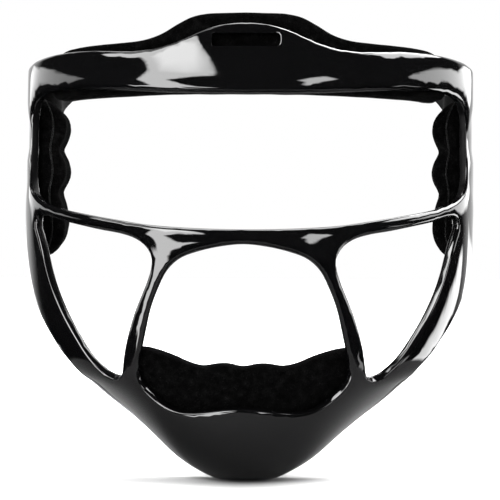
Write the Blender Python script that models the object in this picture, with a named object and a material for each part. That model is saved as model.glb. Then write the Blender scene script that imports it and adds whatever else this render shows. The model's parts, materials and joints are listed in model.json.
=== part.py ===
"""Fielder's face mask: one moulded face guard, removable pads, rear strap.

World frame: +Z up, the mask faces along -Y, and +X is to the right as seen from
its front; _R pieces are on +X.  The origin is the middle of the flat underside
of the chin bowl.  Everything that hugs the face is laid out as a flat pattern
(across, up): the distance wrapped sideways from the centre line and the height
along the centre line, both in millimetres.  wrap() bends the pattern onto the
face form.  Lengths are in millimetres until an object is made.
"""
import math

import bmesh
import bpy
import numpy as np
from mathutils import Vector
from mathutils.geometry import delaunay_2d_cdt

for old in list(bpy.data.objects):
    bpy.data.objects.remove(old, do_unlink=True)

MM = 0.001
DATUM = Vector((0, 24.0, 0))    # the world origin's place on the form, under the chin
SIDES = (("R", 1), ("L", -1))
SHARP_ANGLE = math.radians(35)  # edges above this are shaded sharp


# ---------------------------------------------------------------- materials
def material(name, colour, roughness):
    mat = bpy.data.materials.new(name)
    mat.use_nodes = True
    shader = mat.node_tree.nodes["Principled BSDF"]
    shader.inputs["Base Color"].default_value = (*colour, 1)
    shader.inputs["Roughness"].default_value = roughness
    mat.diffuse_color = (*colour, 1)
    return mat


GLOSS = material("gloss_black_plastic", colour=(0.006, 0.006, 0.007), roughness=0.07)
FOAM = material("black_foam", colour=(0.012, 0.012, 0.012), roughness=0.9)
FABRIC = material("brushed_black_fabric", colour=(0.010, 0.010, 0.011), roughness=0.95)
HOOK = material("hook_patch", colour=(0.015, 0.015, 0.016), roughness=0.7)
WEBBING = material("black_elastic", colour=(0.013, 0.013, 0.014), roughness=0.8)
SATIN = material("satin_black_plastic", colour=(0.012, 0.012, 0.012), roughness=0.4)


# ---------------------------------------------------------------- interpolation
def spline(points):
    """Natural cubic spline through (knot, value...) rows; straight beyond."""
    rows = sorted(points)
    knots = np.array([row[0] for row in rows], float)
    values = np.array([row[1:] for row in rows], float)
    count, gaps = len(knots), np.diff(knots)
    system, target = np.zeros((count, count)), np.zeros((count, values.shape[1]))
    system[0, 0] = system[-1, -1] = 1
    for i in range(1, count - 1):
        system[i, i - 1:i + 2] = gaps[i - 1], 2 * (gaps[i - 1] + gaps[i]), gaps[i]
        target[i] = 6 * ((values[i + 1] - values[i]) / gaps[i]
                         - (values[i] - values[i - 1]) / gaps[i - 1])
    bend = np.linalg.solve(system, target)      # second derivative at each knot
    first_slope = ((values[1] - values[0]) / gaps[0]
                   - gaps[0] * (2 * bend[0] + bend[1]) / 6)
    last_slope = ((values[-1] - values[-2]) / gaps[-1]
                  + gaps[-1] * (bend[-2] + 2 * bend[-1]) / 6)

    def evaluate(where):
        where = np.asarray(where, float)
        flat = where.ravel()
        i = np.clip(np.searchsorted(knots, flat) - 1, 0, count - 2)
        before = ((knots[i + 1] - flat) / gaps[i])[:, None]
        after = ((flat - knots[i]) / gaps[i])[:, None]
        result = (before * values[i] + after * values[i + 1]
                  + ((before ** 3 - before) * bend[i] + (after ** 3 - after) * bend[i + 1])
                  * (gaps[i] ** 2 / 6)[:, None])
        result = np.where((flat < knots[0])[:, None],
                          values[0] + (flat - knots[0])[:, None] * first_slope, result)
        result = np.where((flat > knots[-1])[:, None],
                          values[-1] + (flat - knots[-1])[:, None] * last_slope, result)
        if values.shape[1] == 1:
            return result[:, 0].reshape(where.shape)
        return result.reshape(where.shape + (-1,))
    return evaluate


def smooth(x, low, high):
    """Smooth step from 0 at low to 1 at high."""
    ramp = np.clip((np.asarray(x, float) - low) / (high - low), 0, 1)
    return ramp * ramp * (3 - 2 * ramp)


# ---------------------------------------------------------------- face form
HALF_WIDTH = 105.0              # at the temples
FULL_WIDTH_UP = 112             # the form has its full width from this height
FORM_DEPTH = 78.0               # how far the form wraps back before the flat sides
TOE_IN = math.radians(11)       # the flat sides lean towards the head at the back
TOE_BEND = 8.0                  # length of the bend into the lean
SIDE_Y = -4.0                   # fore-and-aft datum of the flat sides
SIDE_BLEND = (-30, 6)           # blend to that datum, from the start of the flat sides
JAW_EXPONENT = 1.95             # plan section: rounder at the jaw ...
BROW_EXPONENT_GAIN = 0.40       # ... and squarer by this at the brow
EXPONENT_BLEND = (60, 125)      # heights of that change
JAW_TOP, JAW_BLEND = 62, 70     # the jaw rise starts below JAW_TOP, full JAW_BLEND lower
SECTION_ANGLES = np.linspace(0, math.pi / 2, 241)
WRAP_CHUNK = 4000               # points wrapped at a time, to limit memory
NORMAL_STEP = 0.4               # half step of the normals' differences

# centre line of the form, (y, z) from brow to under the chin
PROFILE = [(8.5, 216), (5.0, 203), (2.2, 190), (-1.0, 172), (-4.5, 148),
           (-7.5, 124), (-9.2, 102), (-9.9, 80), (-10.0, 58), (-8.6, 42),
           (-5.4, 27), (-0.2, 14), (8, 4.8), (18, 0.9), (29, 0.4), (41, 3.0)]
PROFILE_DATUM = 8               # index of the profile point where up equals z
# rise of the chin bowl's underside towards the jaw, (x, rise)
JAW_RISE = [(0, 0), (12.8, 1.3), (19, 3.8), (26.1, 7.6), (32.2, 11.8), (40.7, 19.1),
            (48.4, 25.3), (53.4, 28.9), (59.8, 32.5), (67.6, 36.3), (76.5, 41.3),
            (91, 49), (112, 62)]
# (up, half width of the form)
WIDTH_BY_UP = [(-60, 60), (-20, 68), (10, 80), (30, 88), (45, 93.5), (60, 98.5),
               (75, 102), (90, 104), (105, 104.9), (115, 105)]


def centre_line():
    """Spline from up to the profile's (y, z)."""
    points = np.array(PROFILE, float)
    lengths = np.linalg.norm(np.diff(points, axis=0), axis=1)
    run = np.r_[0, np.cumsum(lengths)]
    ups = points[PROFILE_DATUM, 1] - (run - run[PROFILE_DATUM])
    return spline([(up, y, z) for up, (y, z) in zip(ups, PROFILE)])


line_at = centre_line()
width_at = spline(WIDTH_BY_UP)
rise_at = spline([(-x, rise) for x, rise in JAW_RISE[1:]] + JAW_RISE)


def plan_section(angle, exponent, half_width):
    """Sideways and rearward distance on the superellipse plan section."""
    sine, cosine = np.sin(angle), np.maximum(np.cos(angle), 0)
    radius = (sine ** exponent + cosine ** exponent) ** (-1 / exponent)
    return half_width * radius * sine, FORM_DEPTH * (1 - radius * cosine)


def wrap(across, up):
    """Pattern (across, up) to a point on the face form."""
    across, up = np.broadcast_arrays(np.asarray(across, float), np.asarray(up, float))
    shape = across.shape
    across, up = across.ravel(), up.ravel()
    half_width = np.where(up >= FULL_WIDTH_UP, HALF_WIDTH,
                          np.minimum(width_at(up), HALF_WIDTH))
    exponent = JAW_EXPONENT + BROW_EXPONENT_GAIN * smooth(up, *EXPONENT_BLEND)
    line = line_at(up)
    rise_share = smooth(JAW_TOP - up, 0, JAW_BLEND)
    angles = SECTION_ANGLES
    out = np.empty((len(across), 3))
    for first in range(0, len(across), WRAP_CHUNK):
        part = slice(first, first + WRAP_CHUNK)
        # length along the sampled section, then the angle at the wanted length
        xs, ys = plan_section(angles, exponent[part, None], half_width[part, None])
        run = np.concatenate([np.zeros((len(xs), 1)),
                              np.cumsum(np.hypot(np.diff(xs), np.diff(ys)), axis=1)], 1)
        row, wanted = np.arange(len(xs)), np.abs(across[part])
        after = np.clip((run < wanted[:, None]).sum(1), 1, len(angles) - 1)
        share = np.clip((wanted - run[row, after - 1])
                        / (run[row, after] - run[row, after - 1]), 0, 1)
        angle = angles[after - 1] + (angles[after] - angles[after - 1]) * share
        x, y = plan_section(angle, exponent[part], half_width[part])
        # past the section: the toe-in bend, then the flat side
        beyond = wanted - run[:, -1]
        over = np.maximum(beyond, 0)
        bend, flat = np.minimum(over, TOE_BEND), np.maximum(over - TOE_BEND, 0)
        x = x - TOE_IN * bend ** 2 / (2 * TOE_BEND) - math.sin(TOE_IN) * flat
        y = y + bend + math.cos(TOE_IN) * flat
        datum = line[part, 0] + (SIDE_Y - line[part, 0]) * smooth(beyond, *SIDE_BLEND)
        out[part] = np.stack([np.sign(across[part]) * x, datum + y,
                              line[part, 1] + rise_share[part] * rise_at(x)], 1)
    return out.reshape(shape + (3,))


def normals(across, up):
    """Outward unit normal of the form at pattern points."""
    sideways = wrap(across + NORMAL_STEP, up) - wrap(across - NORMAL_STEP, up)
    upward = wrap(across, up + NORMAL_STEP) - wrap(across, up - NORMAL_STEP)
    normal = np.cross(sideways, upward)
    return normal / np.linalg.norm(normal, axis=-1, keepdims=True)


# ---------------------------------------------------------------- 2-D outlines
CURVE_SAMPLES = 24              # samples between neighbouring outline points
# knot pairs blended at each stage of the curve through four points
BLEND_STAGES = (((0, 1), (1, 2), (2, 3)), ((0, 2), (1, 3)), ((1, 2),))


def resample(loop, step):
    """The closed loop with evenly spaced points about step apart."""
    closed = np.vstack([loop, loop[:1]])
    run = np.r_[0, np.cumsum(np.linalg.norm(np.diff(closed, axis=0), axis=1))]
    count = max(int(round(run[-1] / step)), 8)
    stations = np.arange(count) * run[-1] / count
    return np.stack([np.interp(stations, run, closed[:, 0]),
                     np.interp(stations, run, closed[:, 1])], 1)


def closed_curve(points, step):
    """Closed centripetal curve through the points, sampled every step mm."""
    points = np.array(points, float)
    count = len(points)
    samples = []
    for i in range(count):
        four = [points[(i + k) % count] for k in (-1, 0, 1, 2)]
        knots = [0.0]
        for start, end in zip(four, four[1:]):
            knots.append(knots[-1] + np.linalg.norm(end - start) ** 0.5)
        for at in np.linspace(knots[1], knots[2], CURVE_SAMPLES, endpoint=False):
            row = four
            for stage in BLEND_STAGES:
                row = [(knots[high] - at) / (knots[high] - knots[low]) * row[k]
                       + (at - knots[low]) / (knots[high] - knots[low]) * row[k + 1]
                       for k, (low, high) in enumerate(stage)]
            samples.append(row[0])
    return resample(np.array(samples), step)


def mirrored(half):
    """Closed outline from its across >= 0 half, given from top to bottom."""
    return half + [(-across, up) for across, up in reversed(half) if across > 1e-6]


def flip(loop):
    """The loop mirrored to the other side."""
    return np.array(loop) * (-1, 1)


def rounded_box(centre, size, radius, segments=4):
    points = []
    for k, (side_x, side_y) in enumerate([(1, 1), (-1, 1), (-1, -1), (1, -1)]):
        for j in range(segments + 1):
            angle = math.pi / 2 * (k + j / segments)
            points.append(
                (centre[0] + side_x * (size[0] / 2 - radius) + radius * math.cos(angle),
                 centre[1] + side_y * (size[1] / 2 - radius) + radius * math.sin(angle)))
    return np.array(points)


def signed_area(loop):
    """Twice the enclosed area, positive when counter-clockwise."""
    x, y = loop[:, 0], loop[:, 1]
    return float(np.sum(x * np.roll(y, -1) - np.roll(x, -1) * y))


def offset_loop(loop, distance):
    """Loop moved to its left, into the material."""
    along = np.roll(loop, -1, 0) - np.roll(loop, 1, 0)
    along /= np.linalg.norm(along, axis=1, keepdims=True)
    return loop + distance * np.stack([-along[:, 1], along[:, 0]], 1)


def inside(points, loops):
    """Even-odd test of points against all loops together."""
    hit = np.zeros(len(points), bool)
    x, y = points[:, 0], points[:, 1]
    for loop in loops:
        for (x1, y1), (x2, y2) in zip(loop, np.roll(loop, -1, 0)):
            if y1 == y2:
                continue
            spans = (y1 > y) != (y2 > y)
            hit ^= spans & (x < (x2 - x1) * (y - y1) / (y2 - y1) + x1)
    return hit


def edge_distance(points, loops, chunk=500):
    """Distance from each point to the nearest loop point."""
    ends = np.vstack(loops)
    return np.concatenate([
        np.sqrt(((points[i:i + chunk, None] - ends[None]) ** 2).sum(-1)).min(1)
        for i in range(0, len(points), chunk)])


# ---------------------------------------------------------------- triangulation
ROW_PITCH = 0.866               # lattice row spacing over the grid size
LATTICE_MARGIN = 0.62           # lattice's clearance from the loops over the grid size


def lattice_points(loops, grid, rim_depth):
    """Triangular lattice inside the loops, clear of their inset copies."""
    low, high = loops[0].min(0), loops[0].max(0)
    rows = int((high[1] - low[1]) / (grid * ROW_PITCH)) + 1
    columns = int(max(abs(low[0]), abs(high[0])) / grid) + 2
    points = np.array([((column + 0.5 * (row % 2)) * grid, low[1] + row * grid * ROW_PITCH)
                       for row in range(rows)
                       for column in range(-columns, columns + 1)])
    points = points[inside(points, loops)]
    if len(points):
        clear = edge_distance(points, loops) > rim_depth + LATTICE_MARGIN * grid
        points = points[clear]
    return [tuple(p) for p in points]


def triangulate(outer, holes, depths=(0.0,), grid=None, tight=()):
    """Triangles of a flat region.

    Each outline is repeated at the given depths into the material, then a
    triangular lattice fills the rest if grid is given.  The holes numbered in
    tight have their loops a third as deep.  Returns points, triangles, the
    depth index of each point (0 = on the outline) and the outlines' indices."""
    loops = [outer if signed_area(outer) > 0 else outer[::-1]]
    loops += [hole if signed_area(hole) < 0 else hole[::-1] for hole in holes]
    points, edges, levels, rims = [], [], [], []
    for number, loop in enumerate(loops):
        share = 1 / 3 if number - 1 in tight else 1
        for k, depth in enumerate(depths):
            ring = loop if depth == 0 else offset_loop(loop, depth * share)
            ids = [len(points) + i for i in range(len(ring))]
            points += [tuple(p) for p in ring]
            levels += [k] * len(ring)
            edges += list(zip(ids, ids[1:] + ids[:1]))
            if k == 0:
                rims.append(ids)
    if grid:
        points += lattice_points(loops, grid, depths[-1])
        levels += [len(depths)] * (len(points) - len(levels))
    verts, _, faces, sources, _, _ = delaunay_2d_cdt(
        [Vector(p) for p in points], edges, [], 0, 1e-7)
    flat = np.array([(vert.x, vert.y) for vert in verts])
    new_of = {}
    level = [len(depths)] * len(verts)
    for i, merged in enumerate(sources):
        for source in merged:
            new_of[source] = i
            level[i] = levels[source]
    tris = np.array([face for face in faces if len(face) == 3])
    tris = tris[inside(flat[tris].mean(1), loops)]
    clockwise = np.cross(flat[tris[:, 1]] - flat[tris[:, 0]],
                         flat[tris[:, 2]] - flat[tris[:, 0]]) < 0
    tris[clockwise] = tris[clockwise][:, ::-1]
    rims = [[new_of[i] for i in rim] for rim in rims]
    return flat, tris, np.array(level), rims


def membrane_height(flat, tris, fixed):
    """Height of an evenly loaded membrane, zero at the fixed points (mm^2)."""
    count = len(flat)
    stiffness = np.zeros((count, count))
    load = np.zeros(count)
    for tri in tris:
        p = flat[tri]
        sides = [p[2] - p[1], p[0] - p[2], p[1] - p[0]]
        twice = abs(sides[0][0] * sides[1][1] - sides[0][1] * sides[1][0])
        for i, row in enumerate(tri):
            load[row] += twice / 6
            for j, column in enumerate(tri):
                stiffness[row, column] += np.dot(sides[i], sides[j]) / (2 * twice)
    free = ~fixed
    height = np.zeros(count)
    height[free] = np.linalg.solve(stiffness[np.ix_(free, free)], load[free])
    return height


# ---------------------------------------------------------------- object making
def place(ob, at):
    """Put the object at a point of the form's frame and link it."""
    ob.location = (Vector(at) - DATUM) * MM
    bpy.context.scene.collection.objects.link(ob)


def pivot(name, at):
    empty = bpy.data.objects.new(name, None)
    empty.empty_display_size = 0.01
    place(empty, at)
    return empty


def add_object(name, verts, faces, mat, origin=(0, 0, 0), parent=None):
    """Mesh object with its origin at the given point; a parent stands there too."""
    mesh = bpy.data.meshes.new(name)
    bm = bmesh.new()
    made = [bm.verts.new((Vector(vert) - Vector(origin)) * MM) for vert in verts]
    for face in faces:
        bm.faces.new([made[i] for i in face])
    bmesh.ops.recalc_face_normals(bm, faces=bm.faces)
    bm.to_mesh(mesh)
    bm.free()
    mesh.shade_smooth()
    mesh.set_sharp_from_angle(angle=SHARP_ANGLE)
    mesh.materials.append(mat)
    ob = bpy.data.objects.new(name, mesh)
    place(ob, origin)
    if parent is not None:
        ob.parent = parent
        ob.location = (0, 0, 0)


def offset_at(offset, across, up):
    """An offset from the form, given as a number or a function of the pattern."""
    return offset(across, up) if callable(offset) else np.full(len(across), float(offset))


def slab(name, loops, outside, inner, mat, edge, grid, steps=(0.0, 1.0),
         origin=(0, 0, 0), parent=None, crown=None, floor=None, tight=()):
    """Solid between two offsets of the face form, with rounded rims.

    loops are the outline and its holes; edge is the rim radius and steps are
    the rim's loops as fractions of it.  The crown runs on level to the holes
    numbered in tight.  The outside is kept above floor."""
    flat, tris, level, rims = triangulate(loops[0], loops[1:],
                                          [edge * step for step in steps], grid, tight)
    across, up = flat[:, 0], flat[:, 1]
    high, low = offset_at(outside, across, up), offset_at(inner, across, up)
    if crown:
        held = level == 0
        for k in tight:
            held[rims[k + 1]] = False
        high = high + crown(across, up, membrane_height(flat, tris, held))
    middle, half = (high + low) / 2, (high - low) / 2
    share = np.ones(len(flat))
    for k, step in enumerate(steps):
        share[level == k] = math.sqrt(1 - (1 - step) ** 2)
    base, normal = wrap(across, up), normals(across, up)
    top = base + normal * (middle + half * share)[:, None]
    bottom = base + normal * (middle - half * share)[:, None]
    if floor is not None:
        top[:, 2] = np.maximum(top[:, 2], floor)
    verts = [tuple(p) for p in top]
    below = []                  # vertex under each pattern point; shared on the rims
    for i in range(len(flat)):
        if level[i] == 0:
            below.append(i)
        else:
            below.append(len(verts))
            verts.append(tuple(bottom[i]))
    faces = [tuple(int(i) for i in tri) for tri in tris]
    faces += [tuple(below[i] for i in tri[::-1]) for tri in tris]
    add_object(name, verts, faces, mat, origin, parent)


def extrusion(name, loops, point_at, mat, origin, parent=None):
    """Flat outline (first loop) with holes, given thickness.

    point_at(x, y, end) is the point of flat (x, y) on the end face +1 or -1."""
    flat, tris, _, rims = triangulate(loops[0], loops[1:])
    count = len(flat)
    verts = [tuple(point_at(x, y, end)) for end in (1, -1) for x, y in flat]
    faces = [tuple(int(i) for i in tri) for tri in tris]
    faces += [tuple(count + int(i) for i in tri[::-1]) for tri in tris]
    for rim in rims:
        for a, b in zip(rim, rim[1:] + rim[:1]):
            faces.append((a, count + a, count + b, b))
    add_object(name, verts, faces, mat, origin, parent)


# ---------------------------------------------------------------- face guard
WALL = 3.2                      # moulded wall thickness
GUARD_EDGE = 1.6                # rim radius
GUARD_GRID = 6.4
GUARD_STEPS = (0.0, 0.30, 1.0)
GUARD_FLOOR = 0.0               # flat landing under the chin
OUTLINE_STEP, NARROW_STEP = 5.0, 4.4
CROWN = 1.4                     # extra fullness in the middle of each bar
CROWN_SPREAD = (5.0, 14.0)      # how quickly it builds on the bars and the brow (mm^2)
CROWN_BROW = (150, 178)         # heights of the change from bars to brow
SIDE_PLATE = (128, 146)         # the crown fades over this distance across
ROOT_CROWN = 0.6                # share of the crown kept where the cheek bar runs on
ROOT_RISE, ROOT_FALL = (112, 124), (146, 154)   # heights of that band's two edges
STRAP_Z = 177.5                 # height of the strap's middle at the temple bar

# outlines and openings, (across, up)
OUTLINE = mirrored([
    (0, 209.8), (8, 209.2), (16, 207.6), (24, 204.4), (31, 201.2), (38, 198.6),
    (46, 197.0), (56, 196.5), (70, 197.0), (84, 197.0), (97, 196.2), (110, 195.0),
    (120, 193.6), (132, 192.0), (150, 190.6), (166, 190.2), (175, 188.6),
    (179.5, 183.6), (180.5, 176), (180.5, 160), (180, 140), (177, 126),
    (169, 114.5), (156, 106.5), (142, 101), (130, 93), (120.5, 82.5), (111, 71),
    (100.8, 60.5), (91.4, 48.5), (87.8, 34), (88.0, 19), (82.8, 5), (73.3, -8),
    (58.5, -18), (43, -25), (27.5, -29.5), (13, -31.5), (0, -32)])
EYE_OPENING = mirrored([
    (0, 176.5), (28, 176.8), (52, 177.8), (71, 178.8), (88, 178.9), (100, 178.2),
    (109, 176.8), (115.5, 174.3), (119.8, 170.2), (121.6, 163.5), (122.2, 152),
    (122.2, 141), (120.6, 135.6), (116, 131.4), (109, 128.2), (101, 125.8),
    (91, 123.6), (80, 121.8), (68, 119.9), (56, 118.1), (45, 116.5), (33, 115.5),
    (18, 114.8), (0, 114.5)])
MOUTH_OPENING = mirrored([
    (0, 107.8), (10, 106.8), (20, 104.6), (29, 101.2), (35, 95.8), (39, 88.5),
    (43, 79), (46, 68), (48.4, 58), (49.6, 50), (48.8, 42), (46, 35), (41.5, 30),
    (35.5, 27.2), (29, 27.3), (22, 29.2), (14, 31.8), (7, 33.4), (0, 33.9)])
CHEEK_OPENING = [
    (110.5, 119.5), (104, 120.6), (92, 118.3), (80, 116.2), (68, 114), (58, 112.4),
    (50.5, 110.2), (45.6, 107), (42.8, 102.8), (42.4, 97.2), (45.4, 88.5), (50.4, 78),
    (54.2, 68), (57, 58), (58.2, 49.5), (59.2, 42), (62, 37.2), (66, 38.6),
    (70.8, 46.2), (79.2, 59), (88.8, 71.4), (96, 83), (100.8, 93.5), (104, 103),
    (107.5, 111), (110.8, 116)]
BROW_SLOT = rounded_box((0, 201.1), (30.8, 6.2), radius=1.2)
TEMPLE_SLOT = rounded_box((171.2, STRAP_Z), (5.0, 19.0), radius=2.0, segments=3)


def bar_crown(across, up, fullness):
    """Fullness of the bars; on the flat side plates only a low band goes on."""
    spread = CROWN_SPREAD[0] + (CROWN_SPREAD[1] - CROWN_SPREAD[0]) * smooth(up, *CROWN_BROW)
    side = smooth(np.abs(across), *SIDE_PLATE)
    band = smooth(up, *ROOT_RISE) * (1 - smooth(up, *ROOT_FALL))
    return CROWN * (1 - np.exp(-fullness / spread)) * (1 - side + ROOT_CROWN * side * band)


def build_guard():
    cheek = closed_curve(CHEEK_OPENING, NARROW_STEP)
    holes = [closed_curve(EYE_OPENING, OUTLINE_STEP), closed_curve(MOUTH_OPENING, NARROW_STEP),
             cheek, flip(cheek), BROW_SLOT, TEMPLE_SLOT, flip(TEMPLE_SLOT)]
    slab("face_guard", [closed_curve(OUTLINE, OUTLINE_STEP)] + holes, 0.0, -WALL, GLOSS,
         edge=GUARD_EDGE, grid=GUARD_GRID, steps=GUARD_STEPS, crown=bar_crown,
         floor=GUARD_FLOOR, tight=(4,))         # hole 4 is the brow slot


# ---------------------------------------------------------------- pads
GAP = 0.3                       # clearance between neighbouring pieces
PATCH = 1.4                     # hook patch thickness
PAD_BACK = WALL + 2 * GAP + PATCH       # where the pads start, from the form
FACING = 1.1                    # brushed fabric facing on the pads
PLY_GAP = 0.9                   # clearance between a pad's foam and its facing
FOAM_EDGE, FACING_EDGE = 2.6, 0.55      # rim radii
FOREHEAD_THICK = 9.0
CHIN_THICK = 8.4
SIDE_THICK, SIDE_LOBE = 8.6, 4.2        # at the notches, and the lobes' extra
LOBE_NOTCHES = (99.0, 132.5, 152.5, 175.0)
LOBE_LIFT, LOBE_POWER = 0.03, 0.4       # shape of the lobes; a low power is blunter
PAD_FOOT, PAD_HEAD = (91, 112), (166, 184)      # heights where a side pad thins
END_SHARE = 0.1                 # least thickness there, before its square root

# pad outlines, (across, up)
FOREHEAD_PAD = mirrored([
    (0, 217.4), (10, 217.2), (19, 216.8), (26, 215.2), (33, 211.6), (41, 206.8),
    (49, 204.2), (60, 203.0), (73, 202.2), (86, 201.2), (97, 199.4), (104.5, 195.6),
    (108.6, 189), (109.6, 182), (107.6, 176.4), (101, 174.4), (89, 175.0), (72, 175.8),
    (52, 176.6), (28, 177.2), (0, 177.4)])
SIDE_PAD = [
    (129, 175.6), (141, 177.0), (153, 176.0), (160.6, 171), (163.6, 162),
    (164, 146), (163.6, 130), (161.4, 118), (156, 109.6), (148, 104.6),
    (137.6, 100.6), (129.6, 103), (126.8, 112), (126, 128), (126, 146),
    (126, 162), (126.4, 170.4)]
CHIN_PAD = mirrored([
    (0, 52.4), (6, 54.0), (13, 53.9), (19, 52.4), (26, 53.6), (34, 56.8), (43, 59.6),
    (51, 60.8), (57.4, 59), (60.4, 53), (61, 44), (59, 30), (53, 16), (43.5, 3),
    (31, -4.6), (16, -8), (0, -9)])


def side_face(across, up):
    """Inner face of a side pad: three soft lobes stacked up the temple."""
    lobe = np.sin(math.pi * np.interp(up, LOBE_NOTCHES, (0, 1, 2, 3))) ** 2
    ends = np.sqrt(np.maximum(smooth(up, *PAD_FOOT) * (1 - smooth(up, *PAD_HEAD)), END_SHARE))
    return -(PAD_BACK + (SIDE_THICK + SIDE_LOBE * (lobe + LOBE_LIFT) ** LOBE_POWER) * ends)


def pad(name, outline, face, grid, seat):
    """Foam block and the fabric facing on its head side, lifting off together."""
    def facing_back(across, up):
        return offset_at(face, across, up) + FACING

    def foam_front(across, up):
        return facing_back(across, up) + PLY_GAP

    parent = pivot(name + "_seat", seat)
    slab(name + "_foam", [outline], -PAD_BACK, foam_front, FOAM,
         edge=FOAM_EDGE, grid=grid, origin=seat, parent=parent)
    slab(name + "_facing", [outline], facing_back, face, FABRIC,
         edge=FACING_EDGE, grid=grid, origin=seat, parent=parent)


def build_pads():
    pad("forehead_pad", closed_curve(FOREHEAD_PAD, 7.0), -(PAD_BACK + FOREHEAD_THICK),
        grid=9.0, seat=(0, 14, 188))
    side_loop = closed_curve(SIDE_PAD, 5.5)
    for side, sign in SIDES:
        pad("side_pad_" + side, side_loop if sign > 0 else flip(side_loop), side_face,
            grid=5.0, seat=(sign * 95, 75, 140))
    pad("chin_pad", closed_curve(CHIN_PAD, 6.5), -(PAD_BACK + CHIN_THICK),
        grid=8.0, seat=(0, 5, 30))


# ---------------------------------------------------------------- hook patches
PATCH_CORNER = 3.5
PATCH_STEP = 6.0
PATCH_EDGE, PATCH_GRID = 0.6, 9.0
BROW_PATCH_UP, BROW_PATCH_SIZE = 187, (34, 13)
# patches on both sides: name, across, up, (width, height)
PAIRED_PATCHES = [
    ("forehead", 62, BROW_PATCH_UP, BROW_PATCH_SIZE),
    ("temple_upper", 146, 160, (26, 14)),
    ("temple_lower", 144, 120, (26, 14)),
    ("chin", 27, 13, (24, 16))]


def hook_patch(place_name, centre, size):
    front = -(WALL + GAP)
    slab("hook_patch_" + place_name,
         [resample(rounded_box(centre, size, PATCH_CORNER), PATCH_STEP)],
         front, front - PATCH, HOOK, edge=PATCH_EDGE, grid=PATCH_GRID)


def build_patches():
    hook_patch("forehead_centre", (0, BROW_PATCH_UP), BROW_PATCH_SIZE)
    for name, across, up, size in PAIRED_PATCHES:
        for side, sign in SIDES:
            hook_patch(f"{name}_{side}", (sign * across, up), size)


# ---------------------------------------------------------------- rear strap
STRAP_WIDTH = 15.0
STRAP_THICK = 1.5
STRAP_RISE = 20.0               # climb of the strap over RISE_RUN
RISE_RUN = 62.0
LOOP_R = 4.7                    # inner radius of the strap's loop round the bar
RISE_START = LOOP_R + 2.5       # distance from the temple bar where the climb starts
BAR_ACROSS = 177.0              # temple bar the strap loops round, in the pattern
PULL = Vector((-0.34, 0.94)).normalized()   # plan direction of the +X strap's straight
STRAIGHT = 88.0                 # distance from the bar where the strap starts to curve
STRAIGHT_SHARES = (0.0, 0.16, 0.33, 0.5, 0.67, 0.84)    # path points on the straight
CURVE_PULL = 20                 # handle length of the curve at the straight's end
CURVE_HANDLE_X = 38             # x of its handle at the back of the head
CURVE_SEGMENTS = 18
LOOP_SEGMENTS, LOOP_HOLE_SEGMENTS = 26, 20
END_SEGMENTS, END_HOLE_SEGMENTS = 18, 12
REAR_Y = 206.0                  # strap's middle line at the back of the head
END_R = 2.4                     # inner radius of the strap's end eye
END_GAP = 0.5                   # from the +X end eye to the rear ring's bar
RING_BAR = 2.6                  # section of the rear ring's bars
RING_HALF = 7.0                 # ring's upright bar centres, from the middle
RING_SLACK = 1.4                # ring window's extra height over the strap
SLIDER_AT = 68.0                # slider's distance from the temple bar
SLIDER_LENGTH, SLIDER_WALL = 9.0, 1.8
SLIDER_GAP = 0.45               # between the slider and the strap, all round

BAR_X, BAR_Y = [float(c) for c in (wrap(BAR_ACROSS, STRAP_Z)
                                   - normals(BAR_ACROSS, STRAP_Z) * WALL / 2)[:2]]
BAR = Vector((BAR_X, BAR_Y))


def strap_path(end_x):
    """Plan points of the +X half's middle line, from the loop to end_x at the back."""
    start = BAR + PULL * (LOOP_R + STRAP_THICK * 0.5)
    turn = BAR + PULL * STRAIGHT
    path = [start + (turn - start) * share for share in STRAIGHT_SHARES]
    handle1, handle2 = turn + PULL * CURVE_PULL, Vector((CURVE_HANDLE_X, REAR_Y))
    end = Vector((end_x, REAR_Y))
    for i in range(CURVE_SEGMENTS + 1):
        t = i / CURVE_SEGMENTS
        path.append(turn * (1 - t) ** 3 + handle1 * 3 * t * (1 - t) ** 2
                    + handle2 * 3 * t * t * (1 - t) + end * t ** 3)
    return path


def strap_height(x, y):
    """The strap climbs from the temple bar, then runs level round the head."""
    run = math.hypot(abs(x) - BAR_X, y - BAR_Y) - RISE_START
    share = min(max(run / RISE_RUN, 0.0), 1.0)
    return STRAP_Z + STRAP_RISE * math.sin(math.pi / 2 * share)


def beside(path, distance):
    """The path moved to its left."""
    out = []
    for i, point in enumerate(path):
        along = path[min(i + 1, len(path) - 1)] - path[max(i - 1, 0)]
        along.normalize()
        out.append(Vector((point.x - along.y * distance, point.y + along.x * distance)))
    return out


def circle_point(centre, radius, angle):
    return centre + Vector((math.cos(angle), math.sin(angle))) * radius


def open_ring(centre, radius, facing, segments):
    """Clockwise arc round the centre, open by the strap's thickness at facing."""
    half_open = math.asin(STRAP_THICK / 2 / radius)
    return [circle_point(centre, radius, facing - half_open
                         - (2 * math.pi - 2 * half_open) * i / segments)
            for i in range(segments + 1)]


def circle(centre, radius, segments):
    return np.array([tuple(circle_point(centre, radius, 2 * math.pi * i / segments))
                     for i in range(segments)])


def strap_outline(end_x):
    """Plan outline of the +X strap half and the holes of its loop and end eye."""
    path = strap_path(end_x)
    end = Vector((end_x - END_R, REAR_Y))
    left, right = beside(path, STRAP_THICK / 2), beside(path, -STRAP_THICK / 2)
    outer = open_ring(BAR, LOOP_R + STRAP_THICK, math.atan2(PULL.y, PULL.x), LOOP_SEGMENTS)
    outer += left[1:-1]
    outer += open_ring(end, END_R + STRAP_THICK, 0, END_SEGMENTS)
    outer += reversed(right[1:-1])
    return [np.array([tuple(p) for p in outer]),
            circle(BAR, LOOP_R, LOOP_HOLE_SEGMENTS), circle(end, END_R, END_HOLE_SEGMENTS)]


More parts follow.
